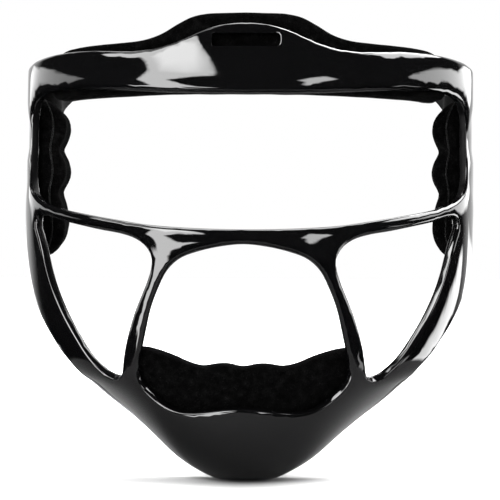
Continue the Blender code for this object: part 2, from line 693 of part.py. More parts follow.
def build_strap(side, sign):
    """One strap half on its pivot at the temple bar."""
    hinge = (sign * BAR_X, BAR_Y, STRAP_Z)
    end_x = RING_HALF + END_R
    if sign > 0:
        # the -X half holds the rear ring in its end eye; this one stops clear of it
        end_x += RING_BAR / 2 + END_R + STRAP_THICK + END_GAP
    loops = strap_outline(end_x)
    if sign < 0:
        loops = [flip(loop) for loop in loops]

    def point_at(x, y, end):
        return x, y, strap_height(x, y) + end * STRAP_WIDTH / 2

    extrusion("rear_strap_" + side, loops, point_at, WEBBING, hinge,
              pivot("strap_pivot_" + side, hinge))


def build_slider(side, sign):
    """Sleeve round the strap: a rail on each face, joined above and below it."""
    middle = BAR + PULL * SLIDER_AT
    x, y = sign * middle.x, middle.y
    centre = Vector((x, y, strap_height(x, y)))
    along = Vector((sign * PULL.x, PULL.y, 0))
    sideways, upward = Vector((along.y, -along.x, 0)), Vector((0, 0, 1))
    half_height = STRAP_WIDTH / 2 + SLIDER_GAP
    half_thick = STRAP_THICK / 2 + SLIDER_GAP
    loops = [rounded_box((0, 0), (2 * (half_thick + SLIDER_WALL),
                                  2 * (half_height + SLIDER_WALL)), radius=1.2, segments=2),
             rounded_box((0, 0), (2 * half_thick, 2 * half_height), radius=0.3, segments=1)]

    def point_at(x, y, end):
        return centre + along * (end * SLIDER_LENGTH / 2) + sideways * x + upward * y

    extrusion("strap_slider_" + side, loops, point_at, SATIN, tuple(centre))


def build_rear_ring():
    """Flat upright ring with one window, across the back of the head."""
    ring_z = strap_height(0, REAR_Y)
    window_height = STRAP_WIDTH + RING_SLACK
    loops = [rounded_box((0, 0), (2 * RING_HALF + RING_BAR, window_height + 2 * RING_BAR),
                         radius=2.2, segments=3),
             rounded_box((0, 0), (2 * RING_HALF - RING_BAR, window_height),
                         radius=0.8, segments=2)]

    def point_at(x, z, end):
        return x, REAR_Y - end * RING_BAR / 2, ring_z + z

    extrusion("rear_ring", loops, point_at, SATIN, (0, REAR_Y, ring_z))


build_guard()
build_pads()
build_patches()
for side_name, side_sign in SIDES:
    build_strap(side_name, side_sign)
    build_slider(side_name, side_sign)
build_rear_ring()
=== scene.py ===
"""Looks of the fielder's face mask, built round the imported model.

The guard, pads and strap are laid out on the same face form as the model: a
flat pattern (s, v) in millimetres that wrap() bends onto the form.  Every piece
is modelled in millimetres on the form and then moved to the model's frame.
"""
import bpy
import json
import math
import numpy as np
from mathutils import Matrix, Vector
from mathutils.geometry import delaunay_2d_cdt

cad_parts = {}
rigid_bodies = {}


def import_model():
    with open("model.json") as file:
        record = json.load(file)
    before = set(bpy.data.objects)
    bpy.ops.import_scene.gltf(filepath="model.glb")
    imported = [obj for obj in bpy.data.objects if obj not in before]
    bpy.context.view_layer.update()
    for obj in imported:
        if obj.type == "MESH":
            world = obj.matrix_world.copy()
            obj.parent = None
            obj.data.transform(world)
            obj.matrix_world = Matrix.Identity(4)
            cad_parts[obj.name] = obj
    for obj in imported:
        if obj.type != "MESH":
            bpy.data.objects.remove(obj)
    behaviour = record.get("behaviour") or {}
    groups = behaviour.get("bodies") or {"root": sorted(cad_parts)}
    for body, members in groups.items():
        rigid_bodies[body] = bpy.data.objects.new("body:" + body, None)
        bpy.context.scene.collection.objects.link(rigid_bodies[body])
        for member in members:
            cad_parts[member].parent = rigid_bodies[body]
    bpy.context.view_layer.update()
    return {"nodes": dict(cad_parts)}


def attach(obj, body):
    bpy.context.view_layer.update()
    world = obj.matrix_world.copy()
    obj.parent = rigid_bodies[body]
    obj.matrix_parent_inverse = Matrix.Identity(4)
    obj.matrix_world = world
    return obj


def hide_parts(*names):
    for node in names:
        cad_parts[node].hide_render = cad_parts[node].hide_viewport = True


for old in list(bpy.data.objects):
    bpy.data.objects.remove(old, do_unlink=True)
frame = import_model()

# ---------------------------------------------------------------- dimensions
MM = 0.001
HALF_WIDTH = 105.0          # face form, half width at the temples
FORM_DEPTH = 78.0           # how far the form wraps back before the flat sides
TOE_IN = math.radians(11)   # the flat sides lean towards the head at the back
TOE_BEND = 8.0              # length of the bend into the lean
WALL = 3.2                  # moulded wall thickness
CROWN = 1.4                 # extra fullness in the middle of each bar
CROWN_SPREAD = (5.0, 14.0)   # how quickly it builds on the bars and the brow (mm^2)
ROOT_BAND = (112, 124, 146, 154)       # the cheek bar runs on over the side plate
GAP = 0.3                   # clearance between neighbouring pieces
PLY_GAP = 0.9               # clearance between a pad's foam and its facing
CHIN_Y = 24.0               # the origin's place on the form, under the chin
PATCH = 1.4                 # hook patch thickness
PAD_BACK = WALL + 2 * GAP + PATCH      # where the pads start, from the form
FACING = 1.1                # brushed fabric facing on the pads
STRAP_WIDTH = 15.0
STRAP_THICK = 1.5
STRAP_Z = 177.5             # height of the strap's middle at the temple bar
STRAP_RISE = 20.0           # climb of the strap over its first RISE_RUN
RISE_RUN = 62.0
BAR_S = 177.0               # temple bar the strap loops round, in the pattern
LOOP_R = 4.7                # inner radius of the strap's loop round the bar

# centre line of the form, (y, z) from brow to under the chin
PROFILE = [(8.5, 216), (5.0, 203), (2.2, 190), (-1.0, 172), (-4.5, 148),
           (-7.5, 124), (-9.2, 102), (-9.9, 80), (-10.0, 58), (-8.6, 42),
           (-5.4, 27), (-0.2, 14), (8, 4.8), (18, 0.9), (29, 0.4), (41, 3.0)]
SIDE_Y = -4.0               # fore-and-aft datum of the flat sides
PROFILE_DATUM = 8           # the profile point where v equals z
# rise of the chin bowl's underside towards the jaw, (half width, rise)
JAW_RISE = [(0, 0), (12.8, 1.3), (19, 3.8), (26.1, 7.6), (32.2, 11.8), (40.7, 19.1),
            (48.4, 25.3), (53.4, 28.9), (59.8, 32.5), (67.6, 36.3), (76.5, 41.3),
            (91, 49), (112, 62)]
# half width of the form by height v
WIDTH_BY_V = [(-60, 60), (-20, 68), (10, 80), (30, 88), (45, 93.5), (60, 98.5),
              (75, 102), (90, 104), (105, 104.9), (115, 105)]


# ---------------------------------------------------------------- face form
def spline(points):
    """Natural cubic spline through (t, value...) rows; straight beyond."""
    rows = sorted(points)
    t = np.array([r[0] for r in rows], float)
    p = np.array([r[1:] for r in rows], float)
    n, h = len(t), np.diff(t)
    a, b = np.zeros((n, n)), np.zeros((n, p.shape[1]))
    a[0, 0] = a[-1, -1] = 1
    for i in range(1, n - 1):
        a[i, i - 1:i + 2] = h[i - 1], 2 * (h[i - 1] + h[i]), h[i]
        b[i] = 6 * ((p[i + 1] - p[i]) / h[i] - (p[i] - p[i - 1]) / h[i - 1])
    m = np.linalg.solve(a, b)
    d0 = (p[1] - p[0]) / h[0] - h[0] * (2 * m[0] + m[1]) / 6
    d1 = (p[-1] - p[-2]) / h[-1] + h[-1] * (m[-2] + 2 * m[-1]) / 6

    def at(x):
        x = np.asarray(x, float)
        q = x.ravel()
        i = np.clip(np.searchsorted(t, q) - 1, 0, n - 2)
        u, w = ((t[i + 1] - q) / h[i])[:, None], ((q - t[i]) / h[i])[:, None]
        r = (u * p[i] + w * p[i + 1] + ((u ** 3 - u) * m[i] + (w ** 3 - w) * m[i + 1])
             * (h[i] ** 2 / 6)[:, None])
        r = np.where((q < t[0])[:, None], p[0] + (q - t[0])[:, None] * d0, r)
        r = np.where((q > t[-1])[:, None], p[-1] + (q - t[-1])[:, None] * d1, r)
        return r[:, 0].reshape(x.shape) if p.shape[1] == 1 else r.reshape(x.shape + (-1,))
    return at


def smooth(x, lo, hi):
    t = np.clip((np.asarray(x, float) - lo) / (hi - lo), 0, 1)
    return t * t * (3 - 2 * t)


def centre_line():
    pts = np.array(PROFILE, float)
    run = np.r_[0, np.cumsum(np.linalg.norm(np.diff(pts, axis=0), axis=1))]
    v = pts[PROFILE_DATUM, 1] - (run - run[PROFILE_DATUM])
    return spline([(a, y, z) for a, (y, z) in zip(v, PROFILE)])


LINE = centre_line()
WIDTHS = spline(WIDTH_BY_V)
RISES = spline([(-x, r) for x, r in JAW_RISE[1:]] + JAW_RISE)
PHI = np.linspace(0, math.pi / 2, 241)


def half_width(v):
    return np.where(v >= 112, HALF_WIDTH, np.minimum(WIDTHS(v), HALF_WIDTH))


def fullness(v):
    """Exponent of the plan section: rounder at the jaw, squarer at the brow."""
    return 1.95 + 0.40 * smooth(v, 60, 125)


def wrap(s, v):
    """Pattern (s, v) to a point on the face form, in mm."""
    s, v = np.broadcast_arrays(np.asarray(s, float), np.asarray(v, float))
    shape = s.shape
    s, v = s.ravel(), v.ravel()
    a, n, line = half_width(v), fullness(v), LINE(v)
    k = smooth(62 - v, 0, 70)
    sp, cp = np.sin(PHI), np.cos(PHI)
    cp[-1] = 0
    out = np.empty((len(s), 3))
    for i in range(0, len(s), 4000):
        q = slice(i, i + 4000)
        e = n[q, None]
        r = (sp ** e + cp ** e) ** (-1 / e)
        xs, ys = a[q, None] * r * sp, FORM_DEPTH * (1 - r * cp)
        run = np.concatenate([np.zeros((len(xs), 1)),
                              np.cumsum(np.hypot(np.diff(xs), np.diff(ys)), axis=1)], 1)
        j, d = np.arange(len(xs)), np.abs(s[q])
        at = np.clip((run < d[:, None]).sum(1), 1, len(PHI) - 1)
        t = np.clip((d - run[j, at - 1]) / (run[j, at] - run[j, at - 1]), 0, 1)
        ph = PHI[at - 1] + (PHI[at] - PHI[at - 1]) * t
        sn, cn = np.sin(ph), np.maximum(np.cos(ph), 0)
        r = (sn ** n[q] + cn ** n[q]) ** (-1 / n[q])
        x = a[q] * r * sn
        y = FORM_DEPTH * (1 - r * cn)
        beyond = d - run[:, -1]
        o = np.maximum(beyond, 0)
        bend, flat = np.minimum(o, TOE_BEND), np.maximum(o - TOE_BEND, 0)
        x = x - TOE_IN * bend ** 2 / (2 * TOE_BEND) - math.sin(TOE_IN) * flat
        y = y + bend + math.cos(TOE_IN) * flat
        lean = line[q, 0] + (SIDE_Y - line[q, 0]) * smooth(beyond, -30, 6)
        out[q] = np.stack([np.sign(s[q]) * x, lean + y,
                           line[q, 1] + k[q] * RISES(x)], 1)
    return out.reshape(shape + (3,))


def normals(s, v, e=0.4):
    """Outward unit normal of the form at pattern points."""
    ds = wrap(s + e, v) - wrap(s - e, v)
    dv = wrap(s, v + e) - wrap(s, v - e)
    n = np.cross(ds, dv)
    return n / np.linalg.norm(n, axis=-1, keepdims=True)


BAR_X, BAR_Y = [float(c) for c in (wrap(BAR_S, STRAP_Z) - normals(BAR_S, STRAP_Z)
                                   * WALL / 2)[:2]]


# ---------------------------------------------------------------- 2-D outlines
def closed_curve(points, step):
    """Closed centripetal curve through the points, sampled every step mm."""
    p = np.array(points, float)
    out = []
    n = len(p)
    for i in range(n):
        p0, p1, p2, p3 = p[i - 1], p[i], p[(i + 1) % n], p[(i + 2) % n]
        t0 = 0.0
        t1 = t0 + max(np.linalg.norm(p1 - p0), 1e-6) ** 0.5
        t2 = t1 + max(np.linalg.norm(p2 - p1), 1e-6) ** 0.5
        t3 = t2 + max(np.linalg.norm(p3 - p2), 1e-6) ** 0.5
        for t in np.linspace(t1, t2, 24, endpoint=False):
            a1 = (t1 - t) / (t1 - t0) * p0 + (t - t0) / (t1 - t0) * p1
            a2 = (t2 - t) / (t2 - t1) * p1 + (t - t1) / (t2 - t1) * p2
            a3 = (t3 - t) / (t3 - t2) * p2 + (t - t2) / (t3 - t2) * p3
            b1 = (t2 - t) / (t2 - t0) * a1 + (t - t0) / (t2 - t0) * a2
            b2 = (t3 - t) / (t3 - t1) * a2 + (t - t1) / (t3 - t1) * a3
            out.append((t2 - t) / (t2 - t1) * b1 + (t - t1) / (t2 - t1) * b2)
    return resample(np.array(out), step)


def resample(loop, step):
    q = np.vstack([loop, loop[:1]])
    run = np.r_[0, np.cumsum(np.linalg.norm(np.diff(q, axis=0), axis=1))]
    n = max(int(round(run[-1] / step)), 8)
    t = np.arange(n) * run[-1] / n
    return np.stack([np.interp(t, run, q[:, 0]), np.interp(t, run, q[:, 1])], 1)


def mirrored(half):
    """Closed outline from its s >= 0 half, given from top to bottom."""
    return half + [(-s, v) for s, v in reversed(half) if s > 1e-6]


def rounded_box(cx, cy, w, h, r, seg=4):
    pts = []
    for k, (sx, sy) in enumerate([(1, 1), (-1, 1), (-1, -1), (1, -1)]):
        for j in range(seg + 1):
            a = math.pi / 2 * (k + j / seg)
            pts.append((cx + sx * (w / 2 - r) + r * math.cos(a),
                        cy + sy * (h / 2 - r) + r * math.sin(a)))
    return np.array(pts)


def area2(loop):
    x, y = loop[:, 0], loop[:, 1]
    return float(np.sum(x * np.roll(y, -1) - np.roll(x, -1) * y))


def offset_loop(loop, d):
    """Loop moved d mm to its left (into the material)."""
    e = np.roll(loop, -1, 0) - np.roll(loop, 1, 0)
    e /= np.linalg.norm(e, axis=1, keepdims=True)
    return loop + d * np.stack([-e[:, 1], e[:, 0]], 1)


def inside(points, loops):
    """Even-odd test of points against all loops together."""
    hit = np.zeros(len(points), bool)
    x, y = points[:, 0], points[:, 1]
    for loop in loops:
        q = np.roll(loop, -1, 0)
        for (x1, y1), (x2, y2) in zip(loop, q):
            if y1 == y2:
                continue
            cross = (y1 > y) != (y2 > y)
            hit ^= cross & (x < (x2 - x1) * (y - y1) / (y2 - y1) + x1)
    return hit


def edge_distance(points, loops):
    ends = np.vstack(loops)
    return np.concatenate([np.sqrt(((points[i:i + 500, None] - ends[None]) ** 2)
                                   .sum(-1)).min(1) for i in range(0, len(points), 500)])


def triangulate(outer, holes, depths, grid, tight=(), narrow=None):
    """Triangles of a pattern region: outlines repeated at depths, then a lattice.

    The holes numbered in tight have their loops a third as deep, and narrow gives
    the share of the depth that each point of a hole's outline takes."""
    loops = [outer if area2(outer) > 0 else outer[::-1]]
    loops += [h if area2(h) < 0 else h[::-1] for h in holes]
    pts, edges, level, rims = [], [], [], []
    for number, loop in enumerate(loops):
        share = 1 / 3 if number - 1 in tight else 1
        for k, d in enumerate(depths):
            ring = loop if d == 0 else offset_loop(loop, d * share)
            if narrow and number and d:
                ring = loop + (ring - loop) * narrow(loop[:, 0], loop[:, 1])[:, None]
            base = len(pts)
            pts += [tuple(p) for p in ring]
            level += [k] * len(ring)
            ids = [base + i for i in range(len(ring))]
            edges += list(zip(ids, ids[1:] + ids[:1]))
            if k == 0:
                rims.append(ids)
    lo, hi = loops[0].min(0), loops[0].max(0)
    rows = int((hi[1] - lo[1]) / (grid * 0.866)) + 1
    cols = int(max(abs(lo[0]), abs(hi[0])) / grid) + 2
    r, c = np.meshgrid(np.arange(rows), np.arange(-cols, cols + 1), indexing="ij")
    lat = np.stack([((c + 0.5 * (r % 2)) * grid).ravel(),
                    (lo[1] + r * grid * 0.866).ravel()], 1)
    lat = lat[inside(lat, loops)]
    if len(lat):
        lat = lat[edge_distance(lat, loops) > depths[-1] + 0.62 * grid]
    pts += [tuple(p) for p in lat]
    level += [len(depths)] * len(lat)
    res = delaunay_2d_cdt([Vector(p) for p in pts], edges, [], 0, 1e-7)
    xy = np.array([(p.x, p.y) for p in res[0]])
    new_of, lev = {}, [len(depths)] * len(xy)
    for i, src in enumerate(res[3]):
        for o in src:
            new_of[o] = i
            lev[i] = level[o]
    tri = np.array([f for f in res[2] if len(f) == 3])
    tri = tri[inside(xy[tri].mean(1), loops)]
    a, b = xy[tri[:, 1]] - xy[tri[:, 0]], xy[tri[:, 2]] - xy[tri[:, 0]]
    flip = a[:, 0] * b[:, 1] - a[:, 1] * b[:, 0] < 0
    tri[flip] = tri[flip][:, ::-1]
    rims = [[new_of[i] for i in rim] for rim in rims]
    return xy, tri, np.array(lev), rims


def fullness_field(xy, tri, fixed):
    """Membrane height over the region, zero on its outline (mm^2)."""
    n = len(xy)
    p = xy[tri]
    e = np.stack([p[:, 2] - p[:, 1], p[:, 0] - p[:, 2], p[:, 1] - p[:, 0]], 1)
    twice = np.maximum(np.abs(e[:, 0, 0] * e[:, 1, 1] - e[:, 0, 1] * e[:, 1, 0]), 1e-9)
    load = np.bincount(tri.ravel(), np.repeat(twice / 6, 3), n)
    w = np.einsum("tid,tjd->tij", e, e) / (2 * twice)[:, None, None]
    i = np.repeat(tri[:, :, None], 3, 2).ravel()
    j = np.repeat(tri[:, None, :], 3, 1).ravel()
    w = w.ravel()
    free = ~fixed
    diag = np.bincount(i[i == j], w[i == j], n)
    diag[diag <= 0] = 1

    def mul(x):
        y = np.bincount(i, w * x[j], n)
        y[fixed] = 0
        return y
    x, r = np.zeros(n), np.where(free, load, 0)
    z = r / diag
    q, rz = z.copy(), float(r @ z)
    start = rz
    for _ in range(1500):
        aq = mul(q)
        alpha = rz / float(q @ aq)
        x += alpha * q
        r -= alpha * aq
        z = r / diag
        new = float(r @ z)
        if new < 1e-10 * start:
            break
        q, rz = z + (new / rz) * q, new
    return x


def new_object(name, verts_mm, faces, mat, smooth_shade=True):
    """Object from form coordinates in mm, placed in the model's frame."""
    mesh = bpy.data.meshes.new(name)
    v = (np.asarray(verts_mm, float) - (0, CHIN_Y, 0)) * MM
    mesh.from_pydata(v.tolist(), [], [tuple(int(i) for i in f) for f in faces])
    mesh.update()
    if smooth_shade:
        mesh.shade_smooth()
    mesh.materials.append(mat)
    ob = bpy.data.objects.new(name, mesh)
    bpy.context.scene.collection.objects.link(ob)
    return ob


def fine_slab(outer, holes, hi_of, lo_of, radius, grid, steps, wall_rows=1, tight=(),
              narrow=None):
    """Vertices, faces and parts of a solid between two offsets of the form.

    The rims are rounded: radius is one number, or how far the rounding runs in
    from the edge and how deep it is.  A straight wall joins the two roundings."""
    run, deep = radius if isinstance(radius, tuple) else (radius, radius)
    depths = [run * k for k in steps]
    xy, tri, lev, rims = triangulate(outer, holes, depths, grid, tight, narrow)
    s, v = xy[:, 0], xy[:, 1]
    held, keen = lev == 0, narrow(s, v) if narrow else np.ones(len(s))
    for k in tight:
        held[rims[k + 1]] = False
        ring = xy[rims[k + 1]]
        near = np.linalg.norm(xy[:, None] - ring[None], axis=2).min(1) < 0.5 * run
        keen[near] = 0.4
    u = fullness_field(xy, tri, held)
    hi, lo = hi_of(s, v, u), lo_of(s, v, u)
    mid, half = (hi + lo) / 2, (hi - lo) / 2
    r = np.minimum(deep * keen, half)
    up = half.copy()
    for k, f in enumerate(steps):
        m = lev == k
        up[m] = half[m] - r[m] + r[m] * math.sqrt(max(0.0, 1 - (1 - f) ** 2))
    base, nrm = wrap(s, v), normals(s, v)
    n = len(s)
    top = base + nrm * (mid + up)[:, None]
    bot = base + nrm * (mid - up)[:, None]
    verts = [top, bot]
    faces = [tuple(t) for t in tri] + [tuple(n + i for i in t[::-1]) for t in tri]
    count = 2 * n
    for rim in rims:
        rows = [np.array(rim)]
        for k in range(1, wall_rows):
            t = k / wall_rows
            verts.append(top[rim] * (1 - t) + bot[rim] * t)
            rows.append(np.arange(count, count + len(rim)))
            count += len(rim)
        rows.append(n + np.array(rim))
        for a, b in zip(rows, rows[1:]):
            for i in range(len(rim)):
                j = (i + 1) % len(rim)
                faces.append((a[i], b[i], b[j], a[j]))
    return dict(verts=np.concatenate(verts), faces=faces, n=n, s=s, v=v, u=u, lev=lev,
                nrm=nrm, tri=tri, rims=rims)


def smooth_normals(ob, rounds):
    """Evens out the shading normals, so that broad reflections run clean."""
    mesh = ob.data
    n = len(mesh.vertices)
    nor = np.zeros(n * 3)
    mesh.vertices.foreach_get("normal", nor)
    nor = nor.reshape(-1, 3)
    ed = np.zeros(len(mesh.edges) * 2, np.int64)
    mesh.edges.foreach_get("vertices", ed)
    ed = ed.reshape(-1, 2)
    for _ in range(rounds):
        w = np.clip((nor[ed[:, 0]] * nor[ed[:, 1]]).sum(1), 0, 1)
        w = np.clip((w - 0.93) / 0.07, 0, 1)
        acc = nor * 1.0
        for k in range(3):
            acc[:, k] += np.bincount(ed[:, 0], w * nor[ed[:, 1], k], n)
            acc[:, k] += np.bincount(ed[:, 1], w * nor[ed[:, 0], k], n)
        nor = acc / np.linalg.norm(acc, axis=1, keepdims=True)
    mesh.normals_split_custom_set_from_vertices(nor.tolist())


# ---------------------------------------------------------------- materials
def shader(name):
    mat = bpy.data.materials.new(name)
    mat.use_nodes = True
    nt = mat.node_tree
    bsdf = nt.nodes["Principled BSDF"]
    return mat, nt, bsdf


def node(nt, kind, **values):
    n = nt.nodes.new(kind)
    for key, val in values.items():
        if key in n.inputs.keys():
            n.inputs[key].default_value = val
        else:
            setattr(n, key, val)
    return n


def coords(nt, scale=(1, 1, 1)):
    tc = node(nt, "ShaderNodeTexCoord")
    mp = node(nt, "ShaderNodeMapping")
    mp.inputs["Scale"].default_value = scale
    nt.links.new(tc.outputs["Object"], mp.inputs["Vector"])
    return mp.outputs["Vector"]


def ramp(nt, fac, stops):
    r = node(nt, "ShaderNodeValToRGB")
    el = r.color_ramp.elements
    while len(el) < len(stops):
        el.new(0.5)
    for e, (pos, col) in zip(el, stops):
        e.position = pos
        e.color = (*col, 1) if len(col) == 3 else col
    nt.links.new(fac, r.inputs["Fac"])
    return r.outputs["Color"]


def grey(x):
    return (x, x, x)


def gloss_plastic(name, base=(0.0010, 0.0010, 0.0011), rough=0.035, ripple=0.012):
    """Moulded glossy black plastic: faint flow ripple, fine wear haze and dust; the
    mesh's cut value dulls trimmed edges."""
    mat, nt, bsdf = shader(name)
    link = nt.links.new
    vec = coords(nt)
    haze = node(nt, "ShaderNodeTexNoise", Scale=38.0, Detail=5.0, Roughness=0.6)
    link(vec, haze.inputs["Vector"])
    fine = node(nt, "ShaderNodeTexNoise", Scale=420.0, Detail=3.0, Roughness=0.55)
    link(vec, fine.inputs["Vector"])
    mixed = node(nt, "ShaderNodeMath", operation="MULTIPLY")
    link(haze.outputs["Fac"], mixed.inputs[0])
    link(fine.outputs["Fac"], mixed.inputs[1])
    cut = node(nt, "ShaderNodeAttribute", attribute_name="cut")
    dull = node(nt, "ShaderNodeMath", operation="MULTIPLY_ADD")
    link(cut.outputs["Fac"], dull.inputs[0])
    dull.inputs[1].default_value = 0.35
    link(ramp(nt, mixed.outputs[0], [(0.12, grey(rough * 0.75)), (0.30, grey(rough)),
                                     (0.52, grey(rough * 2.1))]), dull.inputs[2])
    link(dull.outputs[0], bsdf.inputs["Roughness"])
    level = node(nt, "ShaderNodeMath", operation="MULTIPLY_ADD")
    link(cut.outputs["Fac"], level.inputs[0])
    level.inputs[1].default_value = -0.45
    level.inputs[2].default_value = 0.5
    link(level.outputs[0], bsdf.inputs["Specular IOR Level"])
    link(ramp(nt, haze.outputs["Fac"], [(0.3, base), (0.7, tuple(c * 1.35 for c in base))]),
         bsdf.inputs["Base Color"])
    flow = node(nt, "ShaderNodeTexNoise", Scale=55.0, Detail=1.0, Roughness=0.4)
    link(vec, flow.inputs["Vector"])
    bump = node(nt, "ShaderNodeBump", Strength=ripple, Distance=0.0004)
    link(flow.outputs["Fac"], bump.inputs["Height"])
    link(bump.outputs["Normal"], bsdf.inputs["Normal"])
    bsdf.inputs["IOR"].default_value = 1.52
    return mat


def brushed_fabric(name, dark=0.0003, light=0.003, scale=1500.0, sheen=0.005):
    """Brushed loop fabric over foam: dark speckled nap, its brightest flecks painted glints, with a soft
    sheen.
    """
    mat, nt, bsdf = shader(name)
    link = nt.links.new
    vec = coords(nt)
    nap = node(nt, "ShaderNodeTexNoise", Scale=scale, Detail=4.0, Roughness=0.72)
    link(vec, nap.inputs["Vector"])
    clump = node(nt, "ShaderNodeTexNoise", Scale=scale * 0.22, Detail=3.0, Roughness=0.6)
    link(vec, clump.inputs["Vector"])
    loops = node(nt, "ShaderNodeTexVoronoi", Scale=scale * 0.8)
    link(vec, loops.inputs["Vector"])
    add = node(nt, "ShaderNodeMath", operation="MULTIPLY_ADD")
    link(nap.outputs["Fac"], add.inputs[0])
    add.inputs[1].default_value = 0.75
    link(clump.outputs["Fac"], add.inputs[2])
    tone = node(nt, "ShaderNodeMath", operation="MULTIPLY")
    link(add.outputs[0], tone.inputs[0])
    tone.inputs[1].default_value = 0.6
    # The nap's speckle is its own uneven tone, but the top stop, six times light, is painted: the
    # brightest flecks stand for glints of light on the fibres.
    link(ramp(nt, tone.outputs[0], [(0.40, grey(dark)), (0.55, grey(light * 0.4)),
                                    (0.68, grey(light)), (0.80, grey(light * 6.0))]),
         bsdf.inputs["Base Color"])
    bsdf.inputs["Roughness"].default_value = 0.95
    bsdf.inputs["Sheen Weight"].default_value = sheen
    bsdf.inputs["Sheen Roughness"].default_value = 0.45
    bsdf.inputs["Specular IOR Level"].default_value = 0.008
    height = node(nt, "ShaderNodeMath", operation="MULTIPLY_ADD")
    link(loops.outputs["Distance"], height.inputs[0])
    height.inputs[1].default_value = 0.5
    link(nap.outputs["Fac"], height.inputs[2])
    bump = node(nt, "ShaderNodeBump", Strength=0.9, Distance=0.0006)
    link(height.outputs[0], bump.inputs["Height"])
    link(bump.outputs["Normal"], bsdf.inputs["Normal"])
    return mat


def foam_edge(name):
    """Cut edge of closed-cell foam: tiny open cells in matt black."""
    mat, nt, bsdf = shader(name)
    link = nt.links.new
    vec = coords(nt)
    cells = node(nt, "ShaderNodeTexVoronoi", Scale=1100.0)
    link(vec, cells.inputs["Vector"])
    link(ramp(nt, cells.outputs["Distance"], [(0.1, grey(0.004)), (0.5, grey(0.016)),
                                              (0.9, grey(0.028))]), bsdf.inputs["Base Color"])
    bsdf.inputs["Roughness"].default_value = 0.85
    bump = node(nt, "ShaderNodeBump", Strength=0.8, Distance=0.0005)
    link(cells.outputs["Distance"], bump.inputs["Height"])
    link(bump.outputs["Normal"], bsdf.inputs["Normal"])
    return mat


def elastic_weave(name, light=0.005):
    """Ribbed woven elastic: rib shading along the strap and a fine cross weave."""
    mat, nt, bsdf = shader(name)
    link = nt.links.new
    tc = node(nt, "ShaderNodeTexCoord")
    sep = node(nt, "ShaderNodeSeparateXYZ")
    link(tc.outputs["UV"], sep.inputs[0])
    ribs = node(nt, "ShaderNodeMath", operation="SINE")
    m1 = node(nt, "ShaderNodeMath", operation="MULTIPLY")
    link(sep.outputs["Y"], m1.inputs[0])
    m1.inputs[1].default_value = 2 * math.pi / 0.00125
    link(m1.outputs[0], ribs.inputs[0])
    picks = node(nt, "ShaderNodeMath", operation="SINE")
    m2 = node(nt, "ShaderNodeMath", operation="MULTIPLY")
    link(sep.outputs["X"], m2.inputs[0])
    m2.inputs[1].default_value = 2 * math.pi / 0.0011
    link(m2.outputs[0], picks.inputs[0])
    both = node(nt, "ShaderNodeMath", operation="MULTIPLY_ADD")
    link(ribs.outputs[0], both.inputs[0])
    link(picks.outputs[0], both.inputs[1])
    both.inputs[2].default_value = 0.0
    fuzz = node(nt, "ShaderNodeTexNoise", Scale=900.0, Detail=3.0)
    link(tc.outputs["Object"], fuzz.inputs["Vector"])
    h = node(nt, "ShaderNodeMath", operation="MULTIPLY_ADD")
    link(both.outputs[0], h.inputs[0])
    h.inputs[1].default_value = 0.32
    link(fuzz.outputs["Fac"], h.inputs[2])
    link(ramp(nt, h.outputs[0], [(0.15, grey(light * 0.15)), (0.5, grey(light * 0.5)),
                                 (0.85, grey(light))]), bsdf.inputs["Base Color"])
    bsdf.inputs["Roughness"].default_value = 0.72
    bsdf.inputs["Sheen Weight"].default_value = 0.012
    bsdf.inputs["Specular IOR Level"].default_value = 0.06
    bump = node(nt, "ShaderNodeBump", Strength=0.8, Distance=0.0003)
    link(h.outputs[0], bump.inputs["Height"])
    link(bump.outputs["Normal"], bsdf.inputs["Normal"])
    return mat


def satin_plastic(name, base=0.0035, rough=0.38):
    """Satin moulded plastic with a fine spark-eroded texture."""
    mat, nt, bsdf = shader(name)
    link = nt.links.new
    vec = coords(nt)
    grain = node(nt, "ShaderNodeTexNoise", Scale=1600.0, Detail=3.0)
    link(vec, grain.inputs["Vector"])
    link(ramp(nt, grain.outputs["Fac"], [(0.3, grey(rough * 0.85)), (0.7, grey(rough * 1.2))]),
         bsdf.inputs["Roughness"])
    wear = node(nt, "ShaderNodeTexNoise", Scale=90.0, Detail=4.0)
    link(vec, wear.inputs["Vector"])
    link(ramp(nt, wear.outputs["Fac"], [(0.35, grey(base * 0.8)), (0.7, grey(base * 1.7))]),
         bsdf.inputs["Base Color"])
    bump = node(nt, "ShaderNodeBump", Strength=0.25, Distance=0.0001)
    link(grain.outputs["Fac"], bump.inputs["Height"])
    link(bump.outputs["Normal"], bsdf.inputs["Normal"])
    return mat


def hook_tape(name):
    """Hook tape: rows of tiny moulded hooks."""
    mat, nt, bsdf = shader(name)
    link = nt.links.new
    vec = coords(nt)
    rows = node(nt, "ShaderNodeTexVoronoi", Scale=900.0, Randomness=0.25)
    link(vec, rows.inputs["Vector"])
    link(ramp(nt, rows.outputs["Distance"], [(0.05, grey(0.035)), (0.35, grey(0.012)),
                                             (0.6, grey(0.004))]), bsdf.inputs["Base Color"])
    bsdf.inputs["Roughness"].default_value = 0.55
    bump = node(nt, "ShaderNodeBump", Strength=1.0, Distance=0.0005, invert=True)
    link(rows.outputs["Distance"], bump.inputs["Height"])
    link(bump.outputs["Normal"], bsdf.inputs["Normal"])
    return mat


def thread(name):
    mat, nt, bsdf = shader(name)
    link = nt.links.new
    vec = coords(nt)
    twist = node(nt, "ShaderNodeTexNoise", Scale=2600.0, Detail=2.0)
    link(vec, twist.inputs["Vector"])
    link(ramp(nt, twist.outputs["Fac"], [(0.3, grey(0.006)), (0.7, grey(0.02))]),
         bsdf.inputs["Base Color"])
    bsdf.inputs["Roughness"].default_value = 0.6
    return mat


GLOSS = gloss_plastic("guard_gloss_black")
FABRIC = brushed_fabric("pad_brushed_fabric")
WELT = brushed_fabric("pad_seam_welt", 0.0025, 0.013, 2600.0, 0.06)
ELASTIC = elastic_weave("strap_elastic")
TRIM = satin_plastic("trim_satin_black")
HOOKS = hook_tape("hook_tape_black")
THREAD = thread("black_thread")

